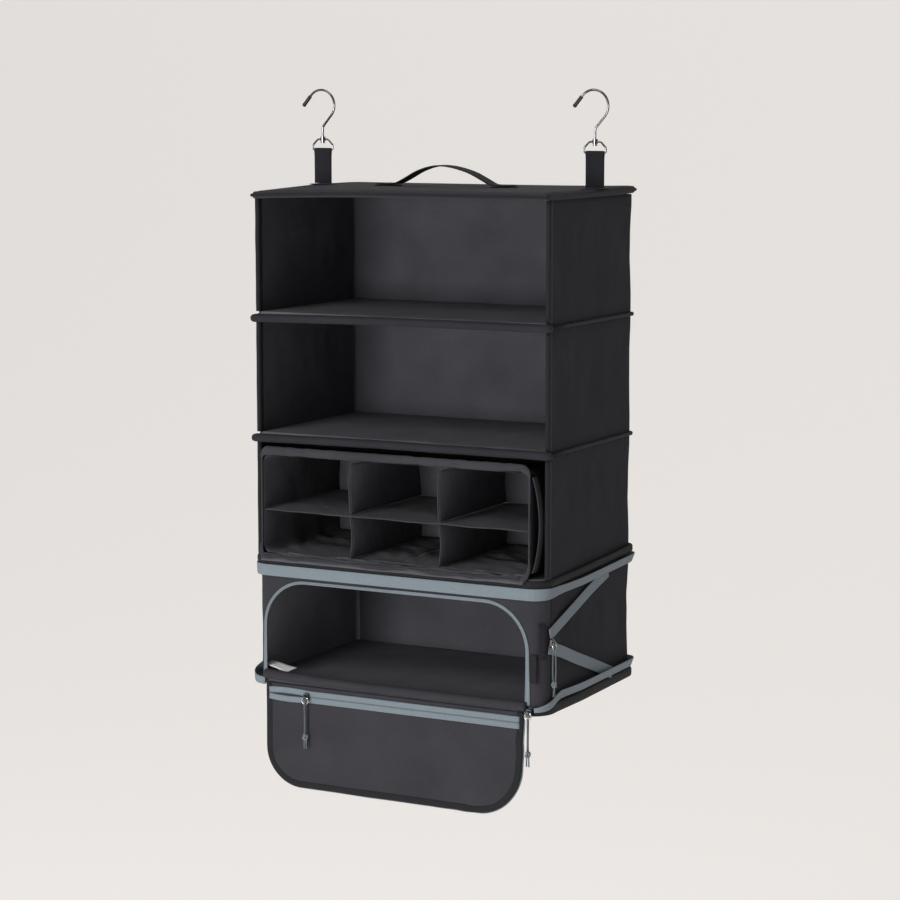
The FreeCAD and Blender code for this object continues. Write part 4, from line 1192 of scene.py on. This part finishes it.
# the compartment shelf takes the lighter bin cloth: painted light
finish(leaves.piece("bin_shelf_cloth", BIN), "bin", ["bin_shelf"], BIN_FOLD)
hem = Shape()
path = [(x, shelf_first[1] - 0.2, shelf_sag(x, shelf_first[1])) for x in xs]
tube(hem, path, 1.0, False, 10, (0, 0, 1))
leaf = Shape()
span = bin_last[0] - bin_first[0]
for third in (1, 2):
    middle_x = bin_first[0] + 3 + (span - 6) * third / 3
    leaf_heights = ((bin_first[2] + 4.5, shelf_z - 2, 2.2), (shelf_z + 2.2, bin_last[2] - 8.5, -1.6))
    for bottom, top, bow in leaf_heights:
        zs = np.linspace(bottom, top, 16)
        ys = np.linspace(shelf_first[1] + 1, BIN_REAR - 5, 36)

        def lean_x(y, z):
            bulge = math.sin(math.pi * (z - bottom) / (top - bottom))
            return middle_x + bow * bulge + 0.8 * ripple(y * 0.02, z * 0.03, third) * bulge

        grid = [[(lean_x(y, z), y, z) for y in ys] for z in zs]
        sheet(leaf, grid, 1.4, [[(y, z) for y in ys] for z in zs])
        tube(hem, [(lean_x(ys[0], z), ys[0] - 0.6, z) for z in zs], 0.9, False, 10, (0, 1, 0))
# the dividers take the lighter cloth: painted light in the cells
finish(leaf.piece("bin_divider_cloth", BIN_WALL), "bin", ["bin_dividers"], BIN_FOLD)
finish(hem.piece("bin_front_hems", BIN_EDGE), "bin", (), BIN_FOLD)


# ---------------------------------------------------------------- handle, straps and patches
def webbing(shape, path, half_width, half_thick, up):
    sweep(shape, path, oval(half_width, half_thick, 20, 6), up)


grab = Shape()
grab_left, grab_right = low("carry_handle")[0], high("carry_handle")[0]
crest = high("carry_handle")[2] - 1
path = smooth_path([(grab_left, 0, TOP + 2.4), (grab_left + 16, 0, TOP + 2.5),
                    (grab_left + 27, 0, TOP + 3.6), (grab_left + 40, 0, TOP + 9.5),
                    (grab_left + 58, 0, crest - 7.5), (grab_left + 76, 0, crest - 1.6),
                    (grab_left + 92, 0, crest), (grab_left + 110, 0, crest - 2.0),
                    (grab_right - 58, 0, crest - 7.9), (grab_right - 40, 0, TOP + 10.3),
                    (grab_right - 27, 0, TOP + 3.8), (grab_right - 16, 0, TOP + 2.5),
                    (grab_right, 0, TOP + 2.4)], 3)
webbing(grab, path, 12.3, 0.9, (0, 0, 1))
finish(grab.piece("handle_webbing", WEBBING), "top", ["carry_handle"], ("handle_press", TOP + 1, 0.1))

STRAP_X = 195.5
bar = low("left_ring")[2] + 1.2
for side, sign in (("left", -1), ("right", 1)):
    strap = Shape()
    x = sign * STRAP_X
    wrap = 1.2 + 0.2 + 0.55
    path = [(x, -0.75, TOP + 1.6), (x, -0.7, TOP + 8), (x, -0.72, TOP + 22), (x, -0.9, bar - 8),
            (x, -1.5, bar - 3)]
    path += [(x, -wrap * math.cos(a), bar + wrap * math.sin(a)) for a in np.linspace(0, math.pi, 9)]
    path += [(x, 1.5, bar - 3), (x, 0.9, bar - 8), (x, 0.72, TOP + 22), (x, 0.7, TOP + 8),
             (x, 0.75, TOP + 1.6)]
    line = smooth_path(path, 1.5)
    webbing(strap, line, 12.4, 0.55, (0, 1, 0.001))
    finish(strap.piece(f"{side}_strap_webbing", WEBBING), f"{side}_strap", [f"{side}_strap"])

patch = Shape()
for middle, half_x, half_y in ((grab_left + 11, 14, 13), (grab_right - 11, 14, 13),
                               (-STRAP_X, 12, 15.5), (STRAP_X, 12, 15.5)):
    plan = rounded(middle - half_x, middle + half_x, -half_y, half_y, (1.5,) * 4, 4)
    slab(patch, plan, TOP, TOP + 1.1, 0.5)
finish(patch.piece("sewn_patch_webbing", WEBBING), "top", ["sewn_patches"])


# ---------------------------------------------------------------- carried-over parts
def repaint(node, material):
    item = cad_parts[node]
    for holder in item.material_slots:
        holder.material = material
    if not item.material_slots:
        item.data.materials.append(material)


for side in ("left", "right"):
    # hooks and rings take the darkened chrome, a painted dark reflection
    repaint(f"{side}_hook", CHROME_PAINTED_DARK)
    repaint(f"{side}_ring", CHROME_PAINTED_DARK)
    repaint(f"{side}_hook_tip", RUBBER)
for name in ("front", "pocket", "compression"):
    repaint(f"{name}_slider", GUNMETAL)
    repaint(f"{name}_pull_ring", CHROME)
for name in ("shelf_1", "shelf_2", "shelf_3", "base"):
    repaint(f"{name}_board", BOARD)


# ---------------------------------------------------------------- studio
pale, nodes, links, shader = tree("studio_floor")
shader.inputs["Base Color"].default_value = (0.60, 0.585, 0.57, 1)
shader.inputs["Roughness"].default_value = 1.0
shader.inputs["Specular IOR Level"].default_value = 0.0
shader.inputs["Emission Color"].default_value = (0.765, 0.735, 0.715, 1)
shader.inputs["Emission Strength"].default_value = 0.66
FLOOR_LEVEL = -1.6
COVE_START = 3.0
COVE = 5.0
steps = [(-20, FLOOR_LEVEL), (COVE_START, FLOOR_LEVEL)]
steps += [(COVE_START + COVE * math.sin(a), FLOOR_LEVEL + COVE * (1 - math.cos(a)))
          for a in np.linspace(0, 1.57, 40)[1:]]
steps += [(COVE_START + COVE, 12)]
studio = bpy.data.meshes.new("studio_floor")
studio.from_pydata([(x, y, z) for y, z in steps for x in (-20, 20)], [],
                   [(2 * i, 2 * i + 1, 2 * i + 3, 2 * i + 2) for i in range(len(steps) - 1)])
studio.polygons.foreach_set("use_smooth", [True] * len(studio.polygons))
studio.materials.append(pale)
studio_floor = bpy.data.objects.new("studio_floor", studio)
bpy.context.collection.objects.link(studio_floor)

world = bpy.data.worlds.new("studio_air")
world.use_nodes = True
world.node_tree.nodes["Background"].inputs[0].default_value = (1.0, 0.985, 0.97, 1)
world.node_tree.nodes["Background"].inputs[1].default_value = 0.25
bpy.context.scene.world = world


def softbox(name, where, aim, size_x, size_y, power):
    light = bpy.data.lights.new(name, "AREA")
    light.shape = "RECTANGLE"
    light.size = size_x
    light.size_y = size_y
    light.energy = power
    item = bpy.data.objects.new(name, light)
    item.location = where
    item.rotation_euler = (Vector(aim) - Vector(where)).to_track_quat("-Z", "Y").to_euler()
    bpy.context.collection.objects.link(item)


softbox("key", (-0.5, -4.2, -0.30), (0, 0, -0.45), 1.4, 0.9, 120)
softbox("high_front", (-0.7, -2.6, 1.7), (0, 0, -0.35), 1.2, 1.2, 27)
softbox("top_light", (0.2, 0.4, 2.2), (0, 0, -0.1), 1.6, 1.6, 8)

scene = bpy.context.scene
scene.view_settings.view_transform = "Standard"

bpy.context.view_layer.update()
